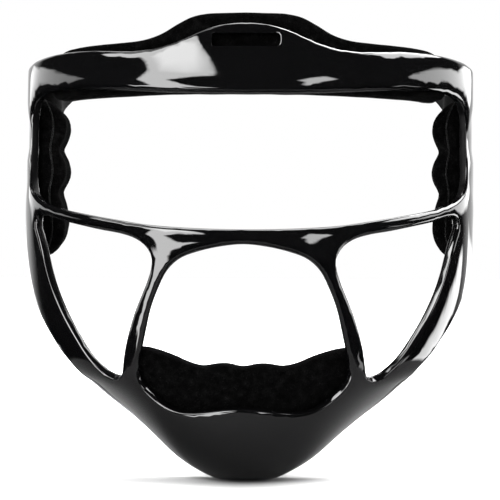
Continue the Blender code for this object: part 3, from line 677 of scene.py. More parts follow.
# ---------------------------------------------------------------- face guard
OUTLINE_HALF = [
    (0, 209.8), (8, 209.2), (16, 207.6), (24, 204.4), (31, 201.2), (38, 198.6),
    (46, 197.0), (56, 196.5), (70, 197.0), (84, 197.0), (97, 196.2), (110, 195.0),
    (120, 193.6), (132, 192.0), (150, 190.6), (166, 190.2), (175, 188.6),
    (179.5, 183.6), (180.5, 176), (180.5, 160), (180, 140), (177, 126),
    (169, 114.5), (156, 106.5), (142, 101), (130, 93), (120.5, 82.5), (111, 71),
    (100.8, 60.5), (91.4, 48.5), (87.8, 34), (88.0, 19), (82.8, 5), (73.3, -8), (58.5, -18),
    (43, -25), (27.5, -29.5), (13, -31.5), (0, -32)]
EYE_HALF = [
    (0, 176.5), (28, 176.8), (52, 177.8), (71, 178.8), (88, 178.9), (100, 178.2),
    (109, 176.8), (115.5, 174.3), (119.8, 170.2), (121.6, 163.5), (122.2, 152),
    (122.2, 141), (120.6, 135.6), (116, 131.4), (109, 128.2), (101, 125.8),
    (91, 123.6), (80, 121.8), (68, 119.9), (56, 118.1), (45, 116.5), (33, 115.5),
    (18, 114.8), (0, 114.5)]
MOUTH_HALF = [
    (0, 107.8), (10, 106.8), (20, 104.6), (29, 101.2), (35, 95.8), (39, 88.5),
    (43, 79), (46, 68), (48.4, 58), (49.6, 50), (48.8, 42), (46, 35), (41.5, 30),
    (35.5, 27.2), (29, 27.3), (22, 29.2), (14, 31.8), (7, 33.4), (0, 33.9)]
CHEEK = [
    (110.5, 119.5), (104, 120.6), (92, 118.3), (80, 116.2), (68, 114), (58, 112.4),
    (50.5, 110.2), (45.6, 107), (42.8, 102.8), (42.4, 97.2), (45.4, 88.5), (50.4, 78),
    (54.2, 68), (57, 58), (58.2, 49.5), (59.2, 42), (62, 37.2), (66, 38.6),
    (70.8, 46.2), (79.2, 59), (88.8, 71.4), (96, 83), (100.8, 93.5), (104, 103),
    (107.5, 111), (110.8, 116)]
SLOT = rounded_box(0, 201.1, 30.8, 6.2, 1.2, 8)
TEMPLE_SLOT = rounded_box(171.2, 177.5, 5.0, 19.0, 2.0, 6)
flip = lambda loop: np.array(loop) * (-1, 1)


def bar_crown(s, v, u):
    """Fullness of the bars; on the flat side plates only a low band goes on."""
    spread = CROWN_SPREAD[0] + (CROWN_SPREAD[1] - CROWN_SPREAD[0]) * smooth(v, 150, 178)
    temple = smooth(v, 124, 142) * (1 - smooth(v, 158, 176))
    side = smooth(np.abs(s), 128 - 16 * temple, 146 - 20 * temple)
    band = smooth(v, *ROOT_BAND[:2]) * (1 - smooth(v, *ROOT_BAND[2:]))
    return CROWN * (1 - np.exp(-u / spread)) * (1 - side + 0.6 * side * band)


def side_rim(s, v):
    """Rims of the openings are crisper beside the eyes than on the bars."""
    return 1 - 0.78 * smooth(np.abs(s), 106, 121) * smooth(v, 112, 136)


STEP = 2.4
GRID = 2.4
cheek = closed_curve(CHEEK, STEP)
shell = fine_slab(closed_curve(mirrored(OUTLINE_HALF), STEP),
                  [closed_curve(mirrored(EYE_HALF), STEP), closed_curve(mirrored(MOUTH_HALF), STEP),
                   cheek, flip(cheek), resample(SLOT, 1.2), resample(TEMPLE_SLOT, 1.2),
                   resample(flip(TEMPLE_SLOT), 1.2)],
                  bar_crown, lambda s, v, u: np.full(len(s), -WALL), (2.3, 1.4), GRID,
                  (0.0, 0.05, 0.18, 0.42, 0.72, 1.0), 1, (4,), side_rim)
verts = shell["verts"]
verts[:, 2] = np.maximum(verts[:, 2], 0.0)
guard = new_object("face_guard_moulding", verts, shell["faces"], GLOSS)
smooth_normals(guard, 3)
cut = np.zeros(len(verts))
for number, reach in ((1, (106, 118)), (3, (82, 98)), (4, (82, 98))):
    rim = np.array(shell["rims"][number])
    value = smooth(np.abs(shell["s"][rim]), *reach)
    if number == 1:
        value = value * smooth(shell["v"][rim], 122, 134)
    cut[rim] = cut[rim + shell["n"]] = value
guard.data.attributes.new("cut", "FLOAT", "POINT").data.foreach_set("value", cut.astype(np.float32))
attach(guard, "frame")
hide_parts("face_guard")

# ---------------------------------------------------------------- pads
FOREHEAD_HALF = [
    (0, 217.4), (10, 217.2), (19, 216.8), (26, 215.2), (33, 211.6), (41, 206.8),
    (49, 204.2), (60, 203.0), (73, 202.2), (86, 201.2), (97, 199.4), (104.5, 195.6),
    (108.6, 189), (109.6, 182), (107.6, 176.4), (101, 174.4), (89, 175.0), (72, 175.8),
    (52, 176.6), (28, 177.2), (0, 177.4)]
SIDE_PAD = [
    (129, 175.6), (141, 177.0), (153, 176.0), (160.6, 171), (163.6, 162),
    (164, 146), (163.6, 130), (161.4, 118), (156, 109.6), (148, 104.6),
    (137.6, 100.6), (129.6, 103), (126.8, 112), (126, 128), (126, 146),
    (126, 162), (126.4, 170.4)]
CHIN_HALF = [
    (0, 52.4), (6, 54.0), (13, 53.9), (19, 52.4), (26, 53.6), (34, 56.8), (43, 59.6),
    (51, 60.8), (57.4, 59), (60.4, 53), (61, 44), (59, 30), (53, 16), (43.5, 3),
    (31, -4.6), (16, -8), (0, -9)]
FOREHEAD_THICK = 9.0
SIDE_THICK, SIDE_LOBE = 8.6, 4.6
LOBE_NOTCHES = (99.0, 132.5, 152.5, 175.0)
CHIN_THICK = 8.4
INSET = 0.9                 # the padding starts this much smaller and swells


def puff(ob, pinned, rest, cap, pressure=4.0, frames=20, stiff=18.0):
    """Inflates the padded cover with cloth simulation, then freezes it."""
    start = np.array([v.co for v in ob.data.vertices], float)
    group = ob.vertex_groups.new(name="held")
    for w in np.unique(pinned[pinned > 0]):
        group.add(np.nonzero(pinned == w)[0].tolist(), float(w), "REPLACE")
    mod = ob.modifiers.new("Cloth", "CLOTH")
    st = mod.settings
    st.quality = 6
    st.mass = 0.25
    st.tension_stiffness = st.compression_stiffness = stiff
    st.shear_stiffness = stiff * 0.4
    st.bending_stiffness = 0.6
    st.use_pressure = True
    st.uniform_pressure_force = pressure
    st.effector_weights.gravity = 0
    st.vertex_group_mass = "held"
    mod.point_cache.frame_start, mod.point_cache.frame_end = 1, frames
    scene = bpy.context.scene
    for f in range(1, frames + 1):
        scene.frame_set(f)
    dg = bpy.context.evaluated_depsgraph_get()
    ev = ob.evaluated_get(dg).data
    out = np.zeros(len(ev.vertices) * 3)
    ev.vertices.foreach_get("co", out)
    out = out.reshape(-1, 3)
    ob.modifiers.remove(mod)
    scene.frame_set(1)
    move = out - start
    far = np.linalg.norm(move, axis=1, keepdims=True)
    limit = cap * MM
    soft = limit * np.tanh(far / limit) / np.maximum(far, 1e-9)
    out = start + move * soft
    ob.data.vertices.foreach_set("co", out.ravel())
    ob.data.update()
    return out


def lumps(p, size, seed):
    """Smooth pseudo-random field from a few crossing waves, -1 to 1."""
    rng = np.random.default_rng(seed)
    acc = np.zeros(len(p))
    for _ in range(14):
        d = rng.normal(size=3)
        d *= 2 * math.pi / (size * MM * (0.6 + 0.9 * rng.random())) / np.linalg.norm(d)
        acc += np.sin(p @ d + rng.random() * 6.28)
    return acc / 5.5


def tube(name, path, radius, mat, sides=10, closed=True):
    """Round cord along a path of points (mm, form coordinates)."""
    p = np.asarray(path, float)
    n = len(p)
    t = np.roll(p, -1, 0) - np.roll(p, 1, 0)
    t /= np.linalg.norm(t, axis=1, keepdims=True)
    a = np.cross(t, [0.13, 0.31, 0.94])
    a /= np.linalg.norm(a, axis=1, keepdims=True)
    b = np.cross(t, a)
    # carry the frame along the path, so that the cord doesn't twist
    for i in range(1, n):
        a[i] = a[i - 1] - t[i] * (a[i - 1] @ t[i])
        a[i] /= np.linalg.norm(a[i])
        b[i] = np.cross(t[i], a[i])
    ang = np.linspace(0, 2 * math.pi, sides, endpoint=False)
    ring = a[:, None] * np.cos(ang)[None, :, None] + b[:, None] * np.sin(ang)[None, :, None]
    verts = (p[:, None] + ring * radius).reshape(-1, 3)
    # where the frame closes on itself it has turned: pick the nearest match
    shift = 0
    if closed:
        end = ring[-1]
        shift = int(np.argmax([float((np.roll(ring[0], -k, 0) * end).sum()) for k in range(sides)]))
    faces = []
    for i in range(n if closed else n - 1):
        j = (i + 1) % n
        k0 = shift if j == 0 and closed else 0
        for k in range(sides):
            k2 = (k + 1) % sides
            faces.append((i * sides + k, j * sides + (k + k0) % sides,
                          j * sides + (k2 + k0) % sides, i * sides + k2))
    if not closed:
        faces.append(tuple(range(sides)))
        faces.append(tuple((n - 1) * sides + k for k in reversed(range(sides))))
    return new_object(name, verts, faces, mat)


PATCHES = [(0, 187, 34, 13), (62, 187, 34, 13), (-62, 187, 34, 13), (146, 160, 26, 14),
           (-146, 160, 26, 14), (144, 120, 26, 14), (-144, 120, 26, 14), (27, 13, 24, 16),
           (-27, 13, 24, 16)]


def pad_back(s, v):
    """Back of the padding: it fills the space beside the hook patches."""
    near = np.zeros(len(s))
    for s0, v0, w, h in PATCHES:
        d = np.maximum(np.abs(s - s0) - w / 2, np.abs(v - v0) - h / 2)
        near = np.maximum(near, 1 - smooth(d, 1.2, 4.5))
    return -(WALL + 0.75) - (PAD_BACK + 0.2 - WALL - 0.75) * near


def make_pad(name, body, outline, face, grid, cap, quilt, nodes, seed, seam_row=2, rows=4,
             pressure=4.0):
    """Padded block in brushed fabric: simulated cover and the welt round its edge."""
    outline = outline if area2(outline) > 0 else outline[::-1]
    small = offset_loop(outline, INSET)
    data = fine_slab(small, [], lambda s, v, u: pad_back(s, v),
                     lambda s, v, u: face(s, v) + INSET, 2.2, grid, (0.0, 0.3, 1.0), rows)
    s, v, n, lev = data["s"], data["v"], data["n"], data["lev"]
    pad = new_object(name, data["verts"], data["faces"], FABRIC)
    total = len(data["verts"])
    pinned = np.zeros(total)
    pinned[:n] = np.where(lev >= 3, 1.0, 0.45)         # back, flat on the hook tape
    pinned[n:2 * n] = quilt(s, v)
    rim = np.array(data["rims"][0])
    seam = 2 * n + np.arange(len(rim)) + (seam_row - 1) * len(rim)
    pinned[seam] = 0.85
    co = puff(pad, pinned, None, cap, pressure)
    nor = np.zeros(total * 3)
    pad.data.vertices.foreach_get("normal", nor)
    nor = nor.reshape(-1, 3)
    amount = np.full(total, 0.14 * MM)
    amount[:n] *= 0.4
    co = co + nor * (lumps(co, 7.0, seed) * amount)[:, None]
    pad.data.vertices.foreach_set("co", co.ravel())
    pad.data.update()
    sub = pad.modifiers.new("Subdivision", "SUBSURF")
    sub.levels = sub.render_levels = 1
    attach(pad, body)
    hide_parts(*nodes)
    welt_path = co[seam] / MM + (0, CHIN_Y, 0) + nor[seam] * 0.12
    for _ in range(2):
        welt_path = (np.roll(welt_path, 1, 0) + welt_path * 2 + np.roll(welt_path, -1, 0)) / 4
    welt = tube(name + "_seam", welt_path, 0.42, WELT, 8)
    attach(welt, body)
    return pad


def side_face(s, v):
    """Inner face of a side pad: three soft lobes stacked up the temple."""
    lobe = np.sin(math.pi * np.interp(v, LOBE_NOTCHES, (0, 1, 2, 3))) ** 2
    ends = np.sqrt(np.maximum(smooth(v, 91, 112) * (1 - smooth(v, 166, 184)), 0.1))
    return -(PAD_BACK + (SIDE_THICK + SIDE_LOBE * (lobe + 0.01) ** 0.4) * ends)


def channel(d, width, held=0.95):
    return held * np.exp(-(d / width) ** 2)


PAD_GRID = 2.8
fore = closed_curve(mirrored(FOREHEAD_HALF), PAD_GRID * 0.9)
side_r = closed_curve(SIDE_PAD, PAD_GRID * 0.9)
chin = closed_curve(mirrored(CHIN_HALF), PAD_GRID * 0.8)
make_pad("forehead_pad_cover", "forehead_pad", fore,
         lambda s, v: np.full(len(s), -(PAD_BACK + FOREHEAD_THICK)), PAD_GRID, 2.4,
         lambda s, v: np.zeros(len(s)), ["forehead_pad_foam", "forehead_pad_facing"], 11)
for tag, loop, seed in (("R", side_r, 21), ("L", flip(side_r), 22)):
    make_pad("side_pad_%s_cover" % tag, "side_pad_" + tag, loop, side_face, PAD_GRID, 2.2,
             lambda s, v: channel(np.minimum(np.abs(v - LOBE_NOTCHES[1]),
                                             np.abs(v - LOBE_NOTCHES[2])), 1.3),
             ["side_pad_%s_foam" % tag, "side_pad_%s_facing" % tag], seed)
make_pad("chin_pad_cover", "chin_pad", chin,
         lambda s, v: np.full(len(s), -(PAD_BACK + CHIN_THICK)), PAD_GRID, 2.0,
         lambda s, v: channel(np.minimum(np.abs(s), np.abs(np.abs(s) - 19)), 1.2)
         * smooth(v, 24, 40), ["chin_pad_foam", "chin_pad_facing"], 31)

# ---------------------------------------------------------------- rear strap
PULL = np.array([-0.34, 0.94]) / math.hypot(0.34, 0.94)
SIDEWAYS = np.array([PULL[1], -PULL[0]])       # outward from the head
STRAIGHT, REAR_Y, RING_BAR, RING_HALF, END_R = 88.0, 206.0, 2.6, 7.0, 2.4
SLIDER_AT = 68.0
BAR = np.array([BAR_X, BAR_Y])


def strap_height(x, y):
    d = np.hypot(np.abs(x) - BAR_X, y - BAR_Y) - LOOP_R - 2.5
    t = np.clip(d / RISE_RUN, 0.0, 1.0)
    return STRAP_Z + STRAP_RISE * np.sin(math.pi / 2 * t)


def open_curve(points, step):
    """Centripetal curve through the points, sampled every step mm."""
    p = np.array(points, float)
    p = np.vstack([2 * p[0] - p[1], p, 2 * p[-1] - p[-2]])
    out = []
    for i in range(1, len(p) - 2):
        p0, p1, p2, p3 = p[i - 1:i + 3]
        t1 = max(np.linalg.norm(p1 - p0), 1e-6) ** 0.5
        t2 = t1 + max(np.linalg.norm(p2 - p1), 1e-6) ** 0.5
        t3 = t2 + max(np.linalg.norm(p3 - p2), 1e-6) ** 0.5
        for t in np.linspace(t1, t2, 16, endpoint=False):
            a1 = (t1 - t) / t1 * p0 + t / t1 * p1
            a2 = (t2 - t) / (t2 - t1) * p1 + (t - t1) / (t2 - t1) * p2
            a3 = (t3 - t) / (t3 - t2) * p2 + (t - t2) / (t3 - t2) * p3
            b1 = (t2 - t) / t2 * a1 + t / t2 * a2
            b2 = (t3 - t) / (t3 - t1) * a2 + (t - t1) / (t3 - t1) * a3
            out.append((t2 - t) / (t2 - t1) * b1 + (t - t1) / (t2 - t1) * b2)
    out.append(p[-2])
    q = np.array(out)
    run = np.r_[0, np.cumsum(np.linalg.norm(np.diff(q, axis=0), axis=1))]
    n = max(int(run[-1] / step), 8)
    t = np.linspace(0, run[-1], n)
    return np.stack([np.interp(t, run, q[:, 0]), np.interp(t, run, q[:, 1])], 1)


def strap_points(end_x, rear_loop):
    """Plan path: folded tail, round the temple bar, back along the head, rear loop."""
    lift = STRAP_THICK / 2 + 0.06
    q = BAR + PULL * STRAIGHT
    pts = [BAR + PULL * d - SIDEWAYS * w for d, w in
           ((30, lift), (24, lift), (18, lift), (12.5, lift + 0.5))]
    rad = LOOP_R + STRAP_THICK / 2
    base = math.atan2(PULL[1], PULL[0])
    for a in np.linspace(58, 302, 13):
        t = base + math.radians(a)
        pts.append(BAR + rad * np.array([math.cos(t), math.sin(t)]))
    pts += [BAR + PULL * d + SIDEWAYS * w for d, w in
            ((12.5, lift + 0.5), (18, lift), (24, lift), (31, lift), (40, 0.15), (52, 0.0),
             (70, 0.0))]
    c1, c2, end = q + PULL * 20, np.array([38, REAR_Y]), np.array([end_x, REAR_Y])
    for t in np.linspace(0.0, 1.0, 12)[:-1]:
        pts.append(q * (1 - t) ** 3 + c1 * 3 * t * (1 - t) ** 2 + c2 * 3 * t * t * (1 - t)
                   + end * t ** 3)
    # rear loop round the ring's bar, then the sewn tail on the head side
    out = lift
    bar = np.array([rear_loop, REAR_Y])
    while pts[-1][0] < rear_loop + 30:
        pts.pop()
    pts += [bar + (28, 0.0), bar + (20, out), bar + (13, out), bar + (7.5, out + 0.7)]
    r2 = RING_BAR / 2 + 0.35 + STRAP_THICK / 2
    for a in np.linspace(55, 305, 11):
        t = math.radians(a)
        pts.append(bar + r2 * np.array([math.cos(t), math.sin(t)]))
    pts += [bar + (7.5, -out - 0.7), bar + (13, -out), bar + (20, -out), bar + (25, -out)]
    return open_curve(pts, 1.3)


def strap_section():
    """Webbing section (thickness, width): ribbed faces and rounded edges."""
    h, w, r = STRAP_THICK / 2, STRAP_WIDTH / 2, 0.55
    b = np.linspace(-(w - r), w - r, 57)
    rib = h - 0.10 * (0.5 - 0.5 * np.cos(2 * math.pi * b / 1.25))
    face = np.stack([rib, b], 1)
    ang = np.linspace(0, math.pi, 7)[1:-1]
    top = np.stack([(h - 0.08) * np.cos(ang), (w - r) + r * np.sin(ang)], 1)
    back = np.stack([-rib[::-1], b[::-1]], 1)
    bottom = np.stack([-(h - 0.08) * np.cos(ang), -(w - r) - r * np.sin(ang)], 1)
    return np.concatenate([face, top, back, bottom])


def sweep_strap(name, plan, mat, sx):
    sec = strap_section()
    m, n = len(sec), len(plan)
    p = plan * (sx, 1)
    t = np.gradient(p, axis=0)
    t /= np.linalg.norm(t, axis=1, keepdims=True)
    nor = np.stack([t[:, 1], -t[:, 0]], 1) * sx
    z = strap_height(p[:, 0], p[:, 1])
    verts = np.empty((n, m, 3))
    verts[:, :, 0] = p[:, None, 0] + nor[:, None, 0] * sec[None, :, 0]
    verts[:, :, 1] = p[:, None, 1] + nor[:, None, 1] * sec[None, :, 0]
    verts[:, :, 2] = z[:, None] + sec[None, :, 1]
    # side faces along the strap, then flat caps on the cut ends
    faces = [(i * m + k, i * m + (k + 1) % m, (i + 1) * m + (k + 1) % m, (i + 1) * m + k)
             for i in range(n - 1) for k in range(m)]
    faces += [tuple(reversed(range(m))), tuple((n - 1) * m + k for k in range(m))]
    if sx > 0:
        faces = [f[::-1] for f in faces]
    ob = new_object(name, verts.reshape(-1, 3), faces, mat)
    run = np.r_[0, np.cumsum(np.linalg.norm(np.diff(p, axis=0), axis=1))]
    uv = ob.data.uv_layers.new(name="strap")
    ids = np.zeros(len(ob.data.loops), np.int64)
    ob.data.loops.foreach_get("vertex_index", ids)
    coords_uv = np.stack([run[ids // m] * MM, sec[ids % m, 1] * MM], 1)
    uv.data.foreach_set("uv", coords_uv.ravel())
    return ob


def capsules(name, spans, radius, mat):
    """Many small stitches as one piece: each span is a pair of points in mm."""
    verts, faces = [], []
    for a, b in spans:
        a, b = np.array(a, float), np.array(b, float)
        t = (b - a) / np.linalg.norm(b - a)
        u = np.cross(t, [0.2, 0.5, 0.84])
        u /= np.linalg.norm(u)
        w = np.cross(t, u)
        base, k = len(verts), 6
        for at, r in ((a - t * radius * 0.6, 0.35), (a, 0.9), ((a + b) / 2, 1.0), (b, 0.9),
                      (b + t * radius * 0.6, 0.35)):
            for j in range(k):
                g = 2 * math.pi * j / k
                verts.append(at + (u * math.cos(g) + w * math.sin(g)) * radius * r)
        for i in range(4):
            for j in range(k):
                faces.append((base + i * k + j, base + i * k + (j + 1) % k,
                              base + (i + 1) * k + (j + 1) % k, base + (i + 1) * k + j))
        faces.append(tuple(base + j for j in reversed(range(k))))
        faces.append(tuple(base + 4 * k + j for j in range(k)))
    return new_object(name, verts, faces, mat)


def box_stitch(x0, x1, h):
    """Box and cross of stitches in strap coordinates (run, height)."""
    spans = []
    corners = [(x0, -h), (x1, -h), (x1, h), (x0, h)]
    lines = [(corners[i], corners[(i + 1) % 4]) for i in range(4)]
    lines += [(corners[0], corners[2]), (corners[1], corners[3])]
    for a, b in lines:
        a, b = np.array(a, float), np.array(b, float)
        length = np.linalg.norm(b - a)
        k = max(int(length / 2.3), 2)
        for i in range(k):
            spans.append((a + (b - a) * (i + 0.14) / k, a + (b - a) * (i + 0.86) / k))
    return spans


def moulded_tube(name, at, along, inner, outer_wall, length, mat, ribs):
    """Slider: a rounded sleeve round the strap, with grip ribs on its outer face."""
    def loop(w, h, r):
        return rounded_box(0, 0, w, h, r, 5)
    a = np.array([along[0], along[1], 0.0])
    out, up = np.array([along[1], -along[0], 0.0]), np.array([0, 0, 1.0])
    rings = []
    e = np.linspace(-1, 1, 41) * length / 2
    bevel = 0.9
    for x in e:
        d = max(0.0, abs(x) - (length / 2 - bevel))
        drop = bevel - math.sqrt(max(bevel ** 2 - d ** 2, 0.0))
        ridge = ribs * max(0.0, math.cos(2 * math.pi * x / 1.9)) ** 2 if abs(x) < length / 2 - 1.6 else 0
        lp = loop(inner[0] + 2 * outer_wall - 2 * drop, inner[1] + 2 * outer_wall - 2 * drop,
                  max(1.5 - drop * 0.5, 0.5))
        # ribs stand on the broad faces only
        lp[:, 0] += np.sign(lp[:, 0]) * (-ridge) * (np.abs(lp[:, 1]) < inner[1] / 2 - 1.0)
        rings.append((x, lp))
    for x in e[::-1]:
        d = max(0.0, abs(x) - (length / 2 - 0.5))
        flare = 0.5 - math.sqrt(max(0.25 - d ** 2, 0.0))
        rings.append((x, loop(inner[0] + 2 * flare, inner[1] + 2 * flare, 0.5 + flare * 0.5)))
    m = len(rings[0][1])
    verts = [at + a * x + out * p[0] + up * p[1] for x, lp in rings for p in lp]
    n = len(rings)
    faces = [(i * m + k, i * m + (k + 1) % m, ((i + 1) % n) * m + (k + 1) % m, ((i + 1) % n) * m + k)
             for i in range(n) for k in range(m)]
    return new_object(name, verts, faces, mat)


def fix_outward(ob):
    """Turns the faces outward if the signed volume says they point in."""
    mesh = ob.data
    mesh.calc_loop_triangles()
    co = np.array([v.co for v in mesh.vertices], float)
    t = np.array([lt.vertices[:] for lt in mesh.loop_triangles])
    vol = float(np.einsum("ij,ij->i", co[t[:, 0]], np.cross(co[t[:, 1]], co[t[:, 2]])).sum())
    if vol < 0:
        mesh.flip_normals()
    return ob


for side, sx in (("R", 1), ("L", -1)):
    ring_bar = RING_HALF
    extra = RING_BAR / 2 + END_R + STRAP_THICK + 0.5 if sx > 0 else 0
    end_x = RING_HALF + END_R + extra
    plan = strap_points(end_x, RING_HALF)
    strap = fix_outward(sweep_strap("rear_strap_%s_webbing" % side, plan, ELASTIC, sx))
    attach(strap, "strap_" + side)
    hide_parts("rear_strap_" + side)
    # sewn boxes where the tails are folded back
    spans = []
    for a, b in box_stitch(16.5, 27.5, 5.2):
        pts = []
        for run, h in (a, b):
            xy = BAR + PULL * run + SIDEWAYS * (STRAP_THICK + 0.12)
            pts.append((sx * xy[0], xy[1], float(strap_height(xy[0], xy[1])) + h))
        spans.append(pts)
    for a, b in box_stitch(12.0, 21.0, 5.2):
        pts = []
        for run, h in (a, b):
            x, y = RING_HALF + run, REAR_Y + STRAP_THICK + 0.12
            pts.append((sx * x, y, float(strap_height(x, y)) + h))
        spans.append(pts)
    stitches = fix_outward(capsules("rear_strap_%s_stitching" % side, spans, 0.26, THREAD))
    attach(stitches, "strap_" + side)
    c = BAR + PULL * SLIDER_AT
    at = np.array([sx * c[0], c[1], float(strap_height(c[0], c[1]))])
    slider = fix_outward(moulded_tube("strap_slider_%s_moulding" % side, at,
                                      np.array([sx * PULL[0], PULL[1]]),
                                      (STRAP_THICK + 0.9, STRAP_WIDTH + 0.9), 1.8, 9.0, TRIM, 0.28))
    slider.data.set_sharp_from_angle(angle=math.radians(50))
    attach(slider, "slider_" + side)
    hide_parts("strap_slider_" + side)

ring_z = float(strap_height(0.0, REAR_Y))
corner = rounded_box(0, 0, 2 * RING_HALF, STRAP_WIDTH + 1.4 + RING_BAR, 1.9, 8)
loop = resample(corner, 0.7)
ring = fix_outward(tube("rear_ring_moulding", [(x, REAR_Y, ring_z + z) for x, z in loop],
                        RING_BAR / 2, TRIM, 16))
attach(ring, "strap_L")
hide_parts("rear_ring")

# ---------------------------------------------------------------- carried-over parts
for name, ob in frame["nodes"].items():
    if name.startswith("hook_patch"):
        ob.data.materials.clear()
        ob.data.materials.append(HOOKS)

# ---------------------------------------------------------------- stage
def card(name, corners, radiance, soft=2.5, fine=1.6):
    """Studio card: a glowing panel given by directions (azimuth, elevation) in degrees
    round the object; azimuth 0 is in front of the mask and 90 is towards +X."""
    centre, r = np.array([0.0, 0.05, 0.12]), 3.0
    loop = resample(np.array(corners, float), fine)
    lo, hi = loop.min(0), loop.max(0)
    gx, gy = np.meshgrid(np.arange(lo[0], hi[0], fine * 1.5), np.arange(lo[1], hi[1], fine * 1.5))
    lat = np.stack([gx.ravel(), gy.ravel()], 1)
    lat = lat[inside(lat, [loop])]
    lat = lat[edge_distance(lat, [loop]) > fine * 0.6]
    pts = [Vector(p) for p in np.vstack([loop, lat])]
    edges = [(i, (i + 1) % len(loop)) for i in range(len(loop))]
    res = delaunay_2d_cdt(pts, edges, [], 1, 1e-6)
    glow = edge_distance(np.array([tuple(p) for p in res[0]]), [loop])
    glow = smooth(glow, 0.0, soft)
    verts = []
    for p in res[0]:
        a, e = math.radians(p.x), math.radians(p.y)
        d = np.array([math.sin(a) * math.cos(e), -math.cos(a) * math.cos(e), math.sin(e)])
        verts.append(tuple(centre + d * r))
    mesh = bpy.data.meshes.new(name)
    mesh.from_pydata(verts, [], [tuple(f) for f in res[2]])
    att = mesh.attributes.new("glow", "FLOAT", "POINT")
    att.data.foreach_set("value", glow.astype(np.float32))
    mat = bpy.data.materials.new(name)
    mat.use_nodes = True
    nt = mat.node_tree
    nt.nodes.remove(nt.nodes["Principled BSDF"])
    em = node(nt, "ShaderNodeEmission")
    att = node(nt, "ShaderNodeAttribute", attribute_name="glow")
    gain = node(nt, "ShaderNodeMath", operation="MULTIPLY")
    nt.links.new(att.outputs["Fac"], gain.inputs[0])
    gain.inputs[1].default_value = radiance
    nt.links.new(gain.outputs[0], em.inputs["Strength"])
    both = node(nt, "ShaderNodeAddShader")
    nt.links.new(em.outputs[0], both.inputs[0])
    nt.links.new(node(nt, "ShaderNodeBsdfTransparent").outputs[0], both.inputs[1])
    nt.links.new(both.outputs[0], nt.nodes["Material Output"].inputs["Surface"])
    mesh.materials.append(mat)
    ob = bpy.data.objects.new(name, mesh)
    bpy.context.scene.collection.objects.link(ob)
    ob.visible_camera = False
    ob.visible_shadow = False
    return ob


